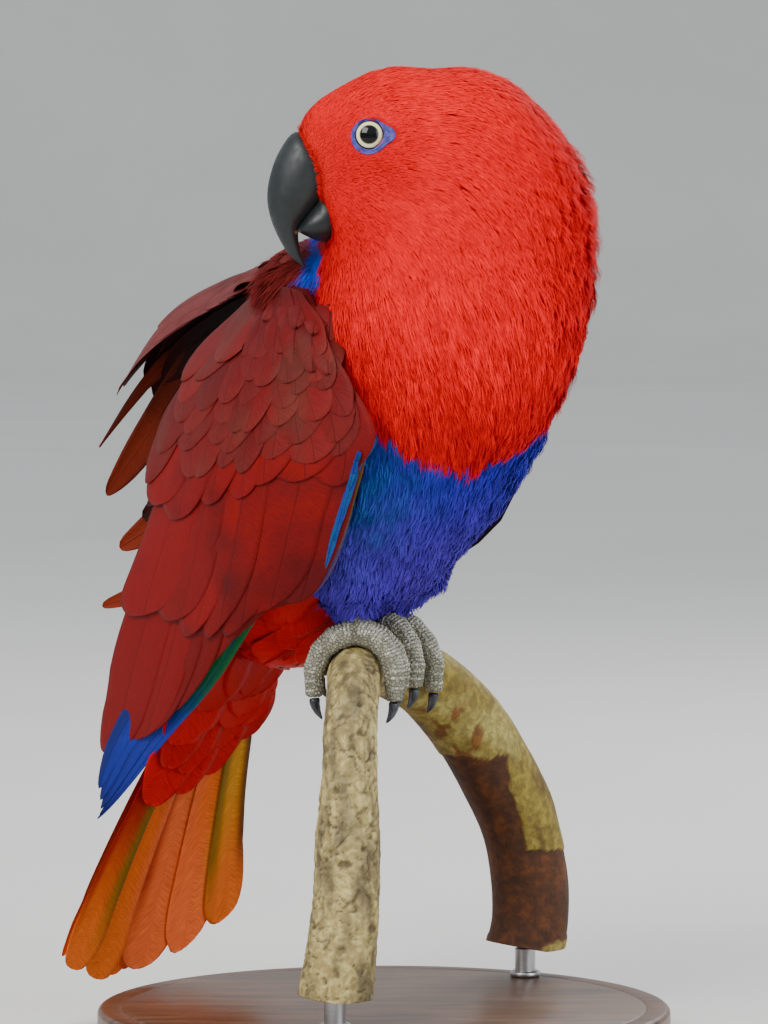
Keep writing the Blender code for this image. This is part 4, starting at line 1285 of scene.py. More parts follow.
# Tail feathers: place across, half width as a share of the tail, reach, height over the surface,
# and the colours of root, tip, near edge and far edge
rectrices = [
    (0.09, 0.105, 1.0, -3.3, ("red", "tip", "red", "olive")),
    (0.235, 0.11, 1.0, -2.5, ("orange", "tip", "yellow", "salmon")),
    (0.5, 0.17, 0.965, -1.7, ("salmon", "salmon", "red", "salmon")),
    (0.71, 0.13, 0.97, -2.3, ("orange", "salmon", "salmon", "yellow")),
    (0.89, 0.1, 0.985, -3.2, ("yellow", "tip", "olive", "brown")),
    (0.15, 0.06, 0.98, 0.6, ("red", "orange", "red", "red")),
    (0.35, 0.08, 0.985, 0.9, ("red", "orange", "olive", "red")),
    (0.43, 0.08, 0.97, 1.7, ("red", "orange", "red", "red")),
    (0.6, 0.09, 0.95, 2.1, ("orange", "orange", "red", "red")),
    (0.8, 0.07, 0.96, 1.2, ("brown", "orange", "brown", "brown")),
    (0.955, 0.055, 0.97, -0.8, ("brown", "tip", "yellow", "brown")),
    (0.03, 0.045, 0.97, -1.2, ("red", "orange", "red", "red")),
]


def tailLines():
    left, middle, right = (np.array(tailShape["tips"][k], float) for k in (-1, 0, 1))
    root = np.array(tailShape["root"], float)
    lines = []
    for across in (-1, -0.33, 0.33, 1):
        start = root + (0, tailShape["rootHalf"] * across, 0)
        tip = middle + (right - left) * (across / 2) + (left + right - middle * 2) * (across**2 / 2)
        lines.append([start + (tip - start) * s
                      + np.array((-0.93, 0, 0.35)) * tailShape["bow"] * s * (1 - s)
                      for s in (0, 0.25, 0.5, 0.75, 1)])
    return lines


def rectrixColour(names):
    root, tip, near, far = (tailTones[name] for name in names)

    def colourAt(along, side, across, points, spins):
        made = mixTone(np.tile(root, (len(along), 1)), tip, blendStep(0.45, 0.9, along))
        made = mixTone(made, tailTones["red"], 0.5 * blendStep(0.4, 0.15, along))
        fade = blendStep(0.98, 0.72, along)
        made = mixTone(made, near, blendStep(-0.25, -0.8, side) * fade * 0.85)
        made = mixTone(made, far, blendStep(0.25, 0.8, side) * fade * 0.85)
        streak = roughField(np.stack([side * 3, along * 0.6, side * 0], axis=1), 1.0, 21)
        made = mixTone(made, tailTones["red"], 0.22 * fade * np.clip(streak, 0, 1))
        return made * (0.92 + 0.16 * spins.random())

    return colourAt


def tailCovertColour(along, side, across, points, spins):
    base = mixTone(tailTones["scarlet"], tailTones["deepRed"],
                   evenShare(0.6 * spins.random(), along))
    return shaded(base, along, side, tailTones["deepRed"], 0.3, spins)


tailCoverts = [
    (6, 0.34, 0.34, (3.4, 4.6), 0.3),
    (5, 0.22, 0.22, (4.4, 5.4), 0.3),
    (4, 0.53, 0.34, (-3.6, -4.8), -0.3),
    (4, 0.43, 0.29, (-4.6, -5.8), -0.3),
    (3, 0.34, 0.25, (-5.6, -7.0), -0.3),
    (3, 0.23, 0.19, (-6.6, -8.0), -0.3),
]
# Loose scarlet feathers from the vent over the tail's root
ventRows = [
    ([(-36, -22, 6), (-36, -8, -2), (-38, 8, -2)], [(-60, -30, -22), (-58, -10, -30),
                                                    (-58, 10, -28)], 5, 9.5),
    ([(-22, -28, 12), (-22, -12, 2), (-24, 6, 2)], [(-47, -32, -6), (-44, -14, -14),
                                                    (-44, 8, -12)], 5, 9.5),
    ([(-12, -30, 22), (-10, -16, 8), (-12, 4, 6)], [(-34, -36, 6), (-30, -18, -6),
                                                    (-30, 6, -6)], 5, 8.5),
]


def makeTail():
    surface = GuideSurface(tailLines(), 1)
    spins = np.random.default_rng(12)
    pile = FeatherPile()
    for u, half, reach, lift, names in rectrices:
        look = lookOf(0.86, 2.2, 0.5, rectrixColour(names), lift=0.05, sway=0.03, camber=3)
        addFeather(pile, surface, (0.1 + 0.8 * u, 0.02), (u, reach), half, (lift, lift), look,
                   spins)
    covert = lookOf(0.6, 2.2, 0.8, tailCovertColour, lift=0.12, sway=0.1, camber=5)
    for number, nearReach, farReach, lift, lean in tailCoverts:
        for k in range(number):
            u = (k + 0.5 + spins.normal(0, 0.12)) / number
            reach = nearReach + (farReach - nearReach) * u + spins.normal(0, 0.012)
            addFeather(pile, surface, (0.1 + 0.8 * u, 0.0), (u, reach), 1.9 / 2 / number, lift,
                       covert, spins, lean)
    return pile.made("tail")


def makeVent():
    shell = shellOf("torso", "tail", "thigh_left", "thigh_right")
    spins = np.random.default_rng(14)
    pile = FeatherPile()
    look = lookOf(0.5, 2.0, 0.8, tailCovertColour, lift=0.12, sway=0.12, camber=5)
    for number, (roots, tips, count, half) in enumerate(ventRows):
        rise = 0.5 * number
        addLeaves(pile, shell, roots, tips, (-30, 2, 24), count, half, (-1.6 + rise, 0.2 + rise),
                  look, spins, 0.4)
    return pile.made("ventFeathers")


putOn(makeTail(), tailFinish, "feather_maroon", "tail")
putOn(makeVent(), tailFinish, "feather_maroon")
print("tail feathered")


# Bill: two smooth horns, in the head's frame

upperBill = [
    ((25.5, 7.0), (19.5, -11.0), 8.8), ((33.6, 10.6), (24.6, -11.6), 9.4),
    ((39.1, 4.2), (25.5, -12.6), 9.2), ((42.0, -3.4), (27.4, -14.8), 8.6),
    ((43.0, -9.9), (30.0, -18.0), 7.6), ((42.4, -15.5), (32.4, -20.7), 6.4),
    ((40.6, -21.0), (32.9, -23.4), 4.8), ((37.8, -26.5), (32.4, -27.2), 3.2),
    ((34.9, -30.4), (31.4, -30.6), 1.8), ((31.0, -33.4), (30.6, -33.4), 0.5),
]
lowerBill = [
    ((18.6, -8.5), (15.0, -24.0), 8.2), ((25.4, -9.8), (20.3, -24.6), 8.8),
    ((27.6, -12.4), (23.5, -25.2), 8.7), ((30.0, -15.2), (26.8, -24.8), 8.0),
    ((31.8, -18.0), (30.0, -23.4), 6.6), ((33.4, -20.4), (32.9, -21.9), 3.8),
]


def makeHorn(name, stations, ridge, rings=44, sides=48):
    outer = np.array([(f, 0, u) for (f, u), _, _ in stations], float)
    inner = np.array([(f, 0, u) for _, (f, u), _ in stations], float)
    halves = np.array([(half, 0, 0) for _, _, half in stations], float)
    share = np.linspace(0, 1, rings)
    outer, inner, halves = (curveAt(row, share) for row in (outer, inner, halves))
    turn = np.linspace(0, 2 * math.pi, sides, endpoint=False)
    mix = (1 - np.cos(turn)) / 2
    width = np.sin(turn) * (1 - ridge * (1 - mix))
    points = []
    for a, b, half in zip(outer, inner, halves[:, 0]):
        ring = a + (b - a) * mix[:, None]
        ring[:, 1] = half * width
        points.append(ring)
    made = meshObject(name, headPoint(np.vstack(points)), ringFaces(rings, sides, True))
    fixNormals(made)
    return made


def hornMaterial():
    material, tree, shader = newMaterial("billHorn", Roughness=0.45, Specular_IOR_Level=0.4,
                                         Coat_Weight=0.06, Coat_Roughness=0.35)
    place = objectPlace(tree)
    clouds, fine = mottled(tree, 90.0, 0.3, 0.7), mottled(tree, 420.0, 0.4, 0.7)
    colour = mixColours(tree, clouds.outputs["Mask"], tone(16, 21, 22), tone(32, 39, 40))
    # a pale notch in the cutting edge
    offset = addNode(tree, "ShaderNodeVectorMath", {0: place, 1: tuple(headPoint((32.9, 0, -22)))},
                     operation="SUBTRACT")
    flat = addNode(tree, "ShaderNodeVectorMath", {0: offset.outputs[0], 1: (1, 0, 1.5)},
                   operation="MULTIPLY")
    away = addNode(tree, "ShaderNodeVectorMath", {0: flat.outputs[0]}, operation="LENGTH")
    notch = addNode(tree, "ShaderNodeMapRange", {"Value": away.outputs["Value"],
                                                 "From Min": 0.6 * mm, "From Max": 1.4 * mm,
                                                 "To Min": 0.75, "To Max": 0.0})
    colour = mixColours(tree, notch.outputs[0], colour, tone(140, 130, 92))
    rough = addNode(tree, "ShaderNodeMapRange", {"Value": fine.outputs["Mask"], "To Min": 0.4,
                                                 "To Max": 0.56})
    tree.links.new(rough.outputs[0], shader.inputs["Roughness"])
    colourAndBump(tree, shader, colour, fine.outputs["Height"], 0.12, 0.2)
    return material


hornFinish = hornMaterial()
putOn(makeHorn("upperBill", upperBill, 0.18), hornFinish, "bill", "upper_bill")
putOn(makeHorn("lowerBill", lowerBill, 0.0), hornFinish, "bill", "lower_bill")
print("bill made")


# Eyes: pale iris, round pupil and a ring of bare violet skin


def eyeMaterial(side):
    material, tree, shader = newMaterial("eye" + ("Left" if side > 0 else "Right"), Roughness=0.05,
                                         Specular_IOR_Level=0.3)
    middle, axis = eyePlaces[side], eyeWays(side)[0]
    offset = addNode(tree, "ShaderNodeVectorMath", {0: objectPlace(tree), 1: tuple(middle)},
                     operation="SUBTRACT")
    away = addNode(tree, "ShaderNodeVectorMath", {0: offset.outputs[0], 1: tuple(axis)},
                   operation="CROSS_PRODUCT")
    radius = addNode(tree, "ShaderNodeVectorMath", {0: away.outputs[0]}, operation="LENGTH")
    ramp = addNode(tree, "ShaderNodeValToRGB")
    scaled = addNode(tree, "ShaderNodeMath", {0: radius.outputs["Value"],
                                              1: 1 / (eyeSizes["ball"] * mm)},
                     operation="MULTIPLY")
    tree.links.new(scaled.outputs[0], ramp.inputs[0])
    pupil, iris = eyeSizes["pupil"] / eyeSizes["ball"], eyeSizes["iris"] / eyeSizes["ball"]
    stops = [(pupil - 0.02, tone(3, 3, 4)), (pupil + 0.015, tone(128, 120, 84)),
             (pupil + 0.06, tone(250, 242, 182)), (iris - 0.06, tone(254, 248, 198)),
             (iris - 0.02, tone(120, 110, 80)), (iris + 0.005, tone(8, 8, 12))]
    ramp.color_ramp.elements.remove(ramp.color_ramp.elements[1])
    first = ramp.color_ramp.elements[0]
    first.position, first.color = stops[0][0], (*stops[0][1], 1)
    for position, colour in stops[1:]:
        element = ramp.color_ramp.elements.new(position)
        element.color = (*colour, 1)
    rays = addNode(tree, "ShaderNodeTexNoise", {"Vector": objectPlace(tree), "Scale": 900.0,
                                                "Detail": 2.0})
    dim = mixColours(tree, 1.0, ramp.outputs[0], (0.78, 0.78, 0.74), "MULTIPLY")
    colour = mixColours(tree, rays.outputs["Fac"], dim, ramp.outputs[0])
    tree.links.new(colour, shader.inputs["Base Color"])
    return material


def makeBall(name, middle, radius, sides=48):
    made = bmesh.new()
    bmesh.ops.create_uvsphere(made, u_segments=sides, v_segments=sides // 2, radius=radius)
    mesh = bpy.data.meshes.new(name)
    made.to_mesh(mesh)
    made.free()
    mesh.transform(Matrix.Translation(Vector(middle)))
    mesh.shade_smooth()
    return linked(name, mesh)


def makeEyeRing(side, name):
    # wrinkled lids round the eye, drawn out to a point towards the nape and closed underneath
    axis, back, up = eyeWays(side)
    ball, inner = eyeSizes["ball"], eyeSizes["lids"]
    turns, steps = 120, 18
    points = []
    for turn in np.linspace(0, 2 * math.pi, turns, endpoint=False):
        out = back * math.cos(turn) + up * math.sin(turn)
        outer = float(ringReach(turn)) + 0.5
        section = []
        for share in np.linspace(0, 1, steps):
            reach = inner + (outer - inner) * share
            place = eyePlaces[side] + out * reach * mm
            hit = skinShell.ray_cast(Vector(place + axis * 20 * mm), Vector(-axis), 40 * mm)[0]
            ground = 0 if hit is None else float(np.dot(np.array(hit) - place, axis)) / mm
            dome = math.sqrt(max(ball**2 - reach**2, 0)) - 0.1
            rest = math.log(math.exp(3 * dome) + math.exp(3 * (ground + 0.35))) / 3
            lid = 0.4 * math.sin(math.pi * min(share * 2.4, 1)) ** 0.8
            crease = 0.08 * math.sin(share * 20 + 2 * math.sin(turn * 5)) * min(1, share * 4)
            sink = 1.6 * max(0, share - 0.86) / 0.14
            section.append((reach, rest + lid + crease - sink))
        section += [(outer, section[-1][1] - 0.8), (inner, section[0][1] - 1.6)]
        points += [eyePlaces[side] + (out * reach + axis * high) * mm for reach, high in section]
    faces = []
    count = steps + 2
    for k in range(turns):
        for j in range(count):
            a, b = k * count, (k + 1) % turns * count
            after = (j + 1) % count
            faces.append((a + j, a + after, b + after, b + j))
    made = meshObject(name, np.array(points), faces)
    fixNormals(made)
    return made


def ringMaterial():
    material, tree, shader = newMaterial("eyeRing", Roughness=0.55)
    clouds = mottled(tree, 500.0, 0.35, 0.65)
    colour = mixColours(tree, clouds.outputs["Mask"], tone(40, 36, 104), tone(74, 74, 160))
    colourAndBump(tree, shader, colour, clouds.outputs["Height"], 0.4, 0.2)
    return material


ringFinish = ringMaterial()
for side, name in ((1, "left"), (-1, "right")):
    ball = makeBall("eye" + name.capitalize(), eyePlaces[side], eyeSizes["ball"] * mm)
    putOn(ball, eyeMaterial(side), "eye", "eye_" + name)
    putOn(makeEyeRing(side, "eyeRing" + name.capitalize()), ringFinish, "eye")
print("eyes made")


# Feet: toes with raised scales, and claws

branchShape = {
    "line": [
        ((-15.8, -52, 22), 12.5), ((-13.5, -52, 39.7), 11.7), ((-12.2, -51, 54.5), 11.0),
        ((-11.7, -50, 71.9), 10.9), ((-11.1, -48, 90.7), 9.5), ((-11.0, -44, 105.5), 9.1),
        ((-10.2, -35, 117.5), 8.9), ((-9.6, -22, 123.6), 9.2), ((-7.0, -6, 124.8), 9.6),
        ((-3.0, 8, 124.6), 10.2), ((4.0, 21, 122.5), 11.3), ((16.0, 34, 115.0), 12.5),
        ((29.5, 49, 98.8), 13.6), ((42.4, 62, 74.8), 14.0), ((47.3, 66, 60.6), 13.7),
        ((50.0, 68, 45.2), 14.0), ((50.2, 68, 32.0), 13.9), ((48.5, 67, 22.0), 14.0),
    ],
    "rings": 420,
    "sides": 96,
    "ridge": 0.55,
}
footSizes = {
    "voxel": 0.55,
    "scaleGap": 0.9,
    "scaleSize": 0.5,
    "seed": 5,
    "plateStep": 1.25,
    "plateLength": 0.5,
    "plateSink": 0.06,
}


def branchCurve(share):
    # middle points and radii of the branch at shares of its length
    rows = curveAt(np.array([(*point, radius) for point, radius in branchShape["line"]]), share)
    return rows[:, :3], rows[:, 3]


def footMaterial(name, low, high):
    material, tree, shader = newMaterial(name, Roughness=0.62)
    cells = addNode(tree, "ShaderNodeTexVoronoi", {"Vector": objectPlace(tree), "Scale": 900.0},
                    feature="DISTANCE_TO_EDGE")
    crack = addNode(tree, "ShaderNodeMapRange", {"Value": cells.outputs["Distance"],
                                                 "From Max": 0.22})
    clouds = mottled(tree, 160.0, 0.35, 0.7)
    scales = mixColours(tree, clouds.outputs["Mask"], low, high)
    colour = mixColours(tree, crack.outputs[0], low * 0.4, scales)
    colourAndBump(tree, shader, colour, crack.outputs[0], 0.7, 0.3)
    return material


def scaleTree(material):
    # scatters flat scales over the piece that carries the modifier
    tree, given, out = newGroup(
        "footScales",
        [("Geometry", "NodeSocketGeometry", None), ("Gap", "NodeSocketFloat", 0.001),
         ("Size", "NodeSocketFloat", 0.0007), ("Seed", "NodeSocketInt", footSizes["seed"])],
        [("Geometry", "NodeSocketGeometry")], "GeometryNodeTree",
    )
    spread = addNode(tree, "GeometryNodeDistributePointsOnFaces",
                     {"Mesh": given.outputs["Geometry"], "Distance Min": given.outputs["Gap"],
                      "Density Max": 1400000.0, "Seed": given.outputs["Seed"]},
                     distribute_method="POISSON")
    dome = addNode(tree, "GeometryNodeMeshIcoSphere", {"Radius": given.outputs["Size"],
                                                       "Subdivisions": 2})
    flat = addNode(tree, "GeometryNodeTransform", {"Geometry": dome.outputs["Mesh"],
                                                   "Scale": (1.0, 0.86, 0.42)})
    size = addNode(tree, "FunctionNodeRandomValue", {"Seed": given.outputs["Seed"]},
                   data_type="FLOAT")
    size.inputs[2].default_value = 0.75
    size.inputs[3].default_value = 1.15
    copies = addNode(tree, "GeometryNodeInstanceOnPoints",
                     {"Points": spread.outputs["Points"], "Instance": flat.outputs["Geometry"],
                      "Rotation": spread.outputs["Rotation"], "Scale": size.outputs[1]})
    real = addNode(tree, "GeometryNodeRealizeInstances", {"Geometry": copies.outputs[0]})
    both = tree.nodes.new("GeometryNodeJoinGeometry")
    tree.links.new(real.outputs[0], both.inputs[0])
    tree.links.new(given.outputs["Geometry"], both.inputs[0])
    painted = addNode(tree, "GeometryNodeSetMaterial", {"Geometry": both.outputs[0],
                                                        "Material": material})
    tree.links.new(painted.outputs[0], out.inputs[0])
    return tree


def setInputs(modifier, values):
    for item in modifier.node_group.interface.items_tree:
        if item.item_type == "SOCKET" and item.in_out == "INPUT" and item.name in values:
            modifier[item.identifier] = values[item.name]


def nodeCopy(node, name):
    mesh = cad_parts[node].data.copy()
    mesh.materials.clear()
    reshape(mesh, weld)
    return linked(name, mesh)


footFinish = footMaterial("footSkin", tone(134, 131, 112), tone(176, 172, 152))
plateFinish = footMaterial("footPlate", tone(178, 177, 160), tone(216, 214, 200))
footScales = scaleTree(footFinish)


def makeFoot(side):
    foot = wholeForm(nodeCopy("foot_" + side, "rawFoot"), "footForm", footSizes["voxel"], 5)
    scales = foot.modifiers.new("scales", "NODES")
    scales.node_group = footScales
    setInputs(scales, {"Gap": footSizes["scaleGap"] * mm, "Size": footSizes["scaleSize"] * mm,
                       "Seed": footSizes["seed"]})
    made = bakedCopy(foot, "foot" + side.capitalize())
    made.data.shade_smooth()
    return made


def plateTree(material):
    # one scute round the top of the toe at every point: "aim" runs along the toe, "over" points out
    tree, given, out = newGroup(
        "toePlates",
        [("Geometry", "NodeSocketGeometry", None), ("Wrap", "NodeSocketFloat", math.radians(165))],
        [("Geometry", "NodeSocketGeometry")], "GeometryNodeTree",
    )
    back = addNode(tree, "ShaderNodeMath", {0: given.outputs["Wrap"], 1: -0.5},
                   operation="MULTIPLY")
    arc = addNode(tree, "GeometryNodeCurveArc",
                  {"Resolution": 15, "Radius": 1.0, "Start Angle": back.outputs[0],
                   "Sweep Angle": given.outputs["Wrap"]})
    ring = addNode(tree, "GeometryNodeCurvePrimitiveCircle", {"Resolution": 8, "Radius": 0.1})
    plate = addNode(tree, "GeometryNodeCurveToMesh",
                    {"Curve": arc.outputs["Curve"], "Profile Curve": ring.outputs["Curve"],
                     "Fill Caps": True})
    aim, over, size = (
        addNode(tree, "GeometryNodeInputNamedAttribute", {"Name": label}, data_type="FLOAT_VECTOR")
        for label in ("aim", "over", "size"))
    turned = addNode(tree, "FunctionNodeAxesToRotation",
                     {"Primary Axis": aim.outputs[0], "Secondary Axis": over.outputs[0]},
                     primary_axis="Z", secondary_axis="X")
    points = addNode(tree, "GeometryNodeMeshToPoints", {"Mesh": given.outputs["Geometry"]})
    copies = addNode(tree, "GeometryNodeInstanceOnPoints",
                     {"Points": points.outputs[0], "Instance": plate.outputs[0],
                      "Rotation": turned.outputs[0], "Scale": size.outputs[0]})
    real = addNode(tree, "GeometryNodeRealizeInstances", {"Geometry": copies.outputs[0]})
    painted = addNode(tree, "GeometryNodeSetMaterial", {"Geometry": real.outputs[0],
                                                        "Material": material})
    tree.links.new(painted.outputs[0], out.inputs[0])
    return tree


toePlates = plateTree(plateFinish)

# Toes: which way they point, where across the foot they start and end, how far round the perch
# they reach in degrees, and how far the tip drops
toePlan = {
    "outerFront": (1, -3.0, -6.0, 88, 9.0),
    "innerFront": (1, 3.6, 7.0, 86, 7.0),
    "outerBack": (-1, -3.4, -5.0, 84, 9.0),
    "innerBack": (-1, 3.2, 6.0, 80, 4.0),
}
footShares = {"right": 0.43, "left": 0.565}


def toeLine(side, plan):
    # the middle line of a toe, from the foot over the perch and down
    way, start, end, reach, drop = plan
    line, radii = branchCurve(footShares[side] + np.array((0, -0.03, 0.03)))
    here, before, after = line
    flat = unit((after - before) * (1, 1, 0))
    forward = np.array((flat[1], -flat[0], 0))
    ring = radii[0] + 4.0
    out = 1 if side == "left" else -1
    turns = np.append(reach * np.array((0.04, 0.2, 0.36, 0.52, 0.68, 0.84, 1)), reach)
    angle = np.radians(turns)[:, None]
    aside = -out * (start + (end - start) * turns / reach)[:, None]
    drops = np.append(np.zeros(7), drop)[:, None]
    return (here + flat * aside + forward * (way * ring * np.sin(angle))
            + upWay * (ring * np.cos(angle) - drops)), here


def makeToePlates(side):
    foot = shellOf("foot_" + side)
    places, aims, overs, sizes = [], [], [], []
    for plan in toePlan.values():
        line, heart = toeLine(side, plan)
        length = np.linalg.norm(np.diff(line, axis=0), axis=1).sum()
        share = np.arange(0.06, 0.97, footSizes["plateStep"] / length)
        spots = curveAt(line, share)
        runs = unit(curveAt(line, share + 0.02) - curveAt(line, share - 0.02))
        for spotPoint, run in zip(spots, runs):
            over = unit(spotPoint - heart - run * float(np.dot(spotPoint - heart, run)))
            hit = foot.ray_cast(Vector(spotPoint * mm), Vector(over), 9 * mm)[3]
            if hit is None:
                continue
            reach = hit / mm - footSizes["plateSink"]
            places.append(spotPoint * mm)
            aims.append(run)
            overs.append(over)
            sizes.append((reach * mm, reach * mm, footSizes["plateLength"] * 10 * mm))
    cloud = bpy.data.meshes.new("toePoints")
    cloud.from_pydata([tuple(p) for p in places], [], [])
    for label, values in (("aim", aims), ("over", overs), ("size", sizes)):
        layer = cloud.attributes.new(label, "FLOAT_VECTOR", "POINT")
        layer.data.foreach_set("vector", np.array(values, np.float32).ravel())
    points = linked("toePoints", cloud)
    points.modifiers.new("plates", "NODES").node_group = toePlates
    made = bakedCopy(points, "toePlates" + side.capitalize())
    made.data.shade_smooth()
    print("toe plates:", side, len(places))
    return made


def clawMaterial():
    material, tree, shader = newMaterial("clawHorn", Roughness=0.3)
    clouds = mottled(tree, 300.0, 0.35, 0.7)
    colour = mixColours(tree, clouds.outputs["Mask"], tone(24, 26, 30), tone(66, 70, 78))
    tree.links.new(colour, shader.inputs["Base Color"])
    return material


clawFinish = clawMaterial()
for side in ("left", "right"):
    putOn(makeFoot(side), footFinish, "foot_skin", "foot_" + side)
    putOn(makeToePlates(side), plateFinish, "foot_skin")
    for toe in ("outer_front", "inner_front", "outer_back", "inner_back"):
        node = f"claw_{side}_{toe}"
        raw = nodeCopy(node, "rawClaw")
        rounder = raw.modifiers.new("rounder", "SUBSURF")
        rounder.levels = rounder.render_levels = 2
        claw = bakedCopy(raw, node.replace("_", " ").title().replace(" ", ""))
        claw.data.shade_smooth()
        putOn(claw, clawFinish, "claw", node)
print("feet and claws made")


# Branch: a bent limb with ridged bark, pale near the viewer, olive with a peeled patch far away

barkTones = {
    "tan": tone(196, 178, 116),
    "grey": tone(124, 112, 78),
    "crack": tone(70, 56, 36),
    "olive": tone(152, 134, 54),
    "pale": tone(182, 170, 98),
    "moss": tone(112, 88, 26),
    "peeled": tone(76, 40, 10),
    "rust": tone(124, 66, 16),
    "wood": tone(150, 124, 84),
}


def makeBranch():
    rings, sides = branchShape["rings"], branchShape["sides"]
    line, radius = branchCurve(np.linspace(0, 1, rings))
    radius = radius - 0.25
    run = unit(np.gradient(line, axis=0))
    sideWay = np.zeros_like(run)
    sideWay[0] = unit(np.cross(run[0], (0, 1, 0)))
    for k in range(1, rings):
        carried = sideWay[k - 1] - run[k] * float(np.dot(sideWay[k - 1], run[k]))
        sideWay[k] = unit(carried)
    otherWay = np.cross(run, sideWay)
    turn = np.linspace(0, 2 * math.pi, sides, endpoint=False)
    length = np.concatenate([[0], np.cumsum(np.linalg.norm(np.diff(line, axis=0), axis=1))])
    along, turns = np.meshgrid(length, turn, indexing="ij")
    total = length[-1]
    far = blendStep(total * 0.46, total * 0.56, along)
    height = barkHeight(along, turns, far)
    middle = line[:, None, :]
    outWay = sideWay[:, None, :] * np.cos(turns)[..., None]
    outWay = outWay + otherWay[:, None, :] * np.sin(turns)[..., None]
    bare, rust = peeledMasks(middle + outWay * radius[:, None, None])
    bare, rust = bare * far, rust * far
    height = height * (1 - 0.7 * bare) - 0.9 * bare
    reach = radius[:, None] + branchShape["ridge"] * np.clip(height, -1.6, 0.6)
    points = middle + outWay * reach[..., None]
    points[..., 2] = np.maximum(points[..., 2], 22.02)
    colours = barkColours(along, turns, height, far, bare, rust)
    faces = ringFaces(rings, sides)
    flat = points.reshape(-1, 3)
    low, high = flat[:sides].mean(0), flat[-sides:].mean(0)
    low[2] = high[2] = 22.02
    flat = np.vstack([flat, low, high])
    last = rings * sides
    for k in range(sides):
        faces.append((last, (k + 1) % sides, k))
        end = (rings - 1) * sides
        faces.append((last + 1, end + k, end + (k + 1) % sides))
    colours = np.vstack([colours.reshape(-1, 3), barkTones["wood"], barkTones["wood"]])
    made = meshObject("branch", flat * mm, faces, colours=colours)
    fixNormals(made)
    return made


def barkHeight(along, turns, far):
    # wavy wrinkles across the near limb, knots, and a smoother far limb
    places = np.stack([np.cos(turns), np.sin(turns), along], axis=-1).reshape(-1, 3)
    values = []
    for x, y, run in places:
        broad = noise.noise(Vector((x * 1.4, y * 1.4, run / 14)))
        wrinkle = noise.noise(Vector((x * 1.5, y * 1.5, run / 3.4 + 2.2 * broad)))
        finer = noise.fractal(Vector((x * 3.4, y * 3.4, run / 3.0)), 0.9, 2.1, 4)
        values.append((broad, abs(wrinkle), finer))
    broad, wrinkle, finer = (column.reshape(along.shape) for column in np.array(values).T)
    groove = np.exp(-wrinkle * 13) * (0.75 + broad)
    height = (0.5 * finer + 0.5 * broad - 1.1 * groove) * (1 - far)
    height = height + (0.22 * finer + 0.35 * broad) * far
    knots = [(44, 1.5, 3.6), (49, 2.1, 2.6), (67, 1.1, 3.0), (92, 1.9, 2.6), (103, 4.2, 4.0),
             (24, 2.6, 3.5), (205, 0.8, 5.0)]
    for at, around, size in knots:
        turned = np.angle(np.exp(1j * (turns - around)))
        apart = np.hypot((along - at) * 1.6, turned * 11)
        height = height + 1.1 * np.exp(-(((apart - size) / 1.4) ** 2))
        height = height - 1.3 * np.exp(-((apart / size * 1.3) ** 2))
    return height


def peeledMasks(points):
    # where the far limb has lost its bark, and the rusty flecks above that, as seen from in front
    flat = points.reshape(-1, 3)
    wave = roughField(flat, 7, 6)
    x = flat[:, 0] + 1.6 * wave
    z = flat[:, 2] + 1.6 * roughField(flat, 6, 7)
    edge = np.interp(z, (0, 54, 57, 72, 90), (99, 99, 49, 45.5, 42))
    low = 21 + 5 * blendStep(42, 34, x) + 4 * blendStep(50, 58, x)
    bare = blendStep(0.5, -0.5, x - edge) * blendStep(91.4, 90.6, z) * blendStep(0, 1, z - low)
    fleck = roughField(flat, 4.5, 8) - 0.1
    rust = blendStep(0.12, 0.25, fleck) * blendStep(36, 32, x) * blendStep(112, 106, z)
    return (values.reshape(points.shape[:2]) for values in (bare, rust * blendStep(88, 92, z)))


def barkColours(along, turns, height, far, bare, rust):
    flat = np.stack([np.cos(turns) * 11, np.sin(turns) * 11, along * 0.6], axis=-1).reshape(-1, 3)
    cloud = roughField(flat, 12, 4)
    fine = roughField(flat, 4, 5)
    streak = roughField(flat * (1, 1, 0.3), 2.4, 9)
    far, bare, rust, height = (values.ravel() for values in (far, bare, rust, height))
    tan = mixTone(barkTones["tan"], barkTones["grey"],
                  np.clip(0.35 + 0.5 * cloud + 0.6 * streak, 0, 1))
    olive = mixTone(barkTones["olive"], barkTones["moss"],
                    np.clip(0.2 + 0.5 * fine + 0.6 * streak, 0, 1))
    olive = mixTone(olive, barkTones["pale"], np.clip(1.2 * cloud, 0, 0.8))
    colour = mixTone(tan, olive, far)
    # painted shade: the grooves and other low parts of the bark turn towards the crack tone
    deep = blendStep(-0.1, -0.75, height) * 0.8 * (1 - bare)
    colour = mixTone(colour, barkTones["crack"], deep)
    colour = mixTone(colour, barkTones["rust"], rust * 0.85)
    rim = np.clip(4 * bare * (1 - bare), 0, 1)
    colour = mixTone(colour, barkTones["rust"], 0.7 * rim)
    peeled = mixTone(barkTones["peeled"], barkTones["rust"], np.clip(0.15 + 0.5 * fine, 0, 0.6))
    return mixTone(colour, peeled, bare)


def barkMaterial():
    material, tree, shader = newMaterial("branchBark", Roughness=0.78)
    own = addNode(tree, "ShaderNodeAttribute", attribute_name="coatColour")
    grain = mottled(tree, 380.0, 0.38, 0.66)
    darker = mixColours(tree, 1.0, own.outputs["Color"], (0.56, 0.52, 0.44), "MULTIPLY")
    colour = mixColours(tree, grain.outputs["Mask"], darker, own.outputs["Color"])
    colourAndBump(tree, shader, colour, grain.outputs["Height"], 0.6, 0.5)
    return material


putOn(makeBranch(), barkMaterial(), "bark", "perch")
print("branch made")


# Stand: a turned wooden base and two steel rods

standSizes = {
    "radius": 95,
    "height": 12,
    "edge": 1.6,
    "rod": 3.5,
    "rodTop": 21.7,
    "collar": 5.2,
}


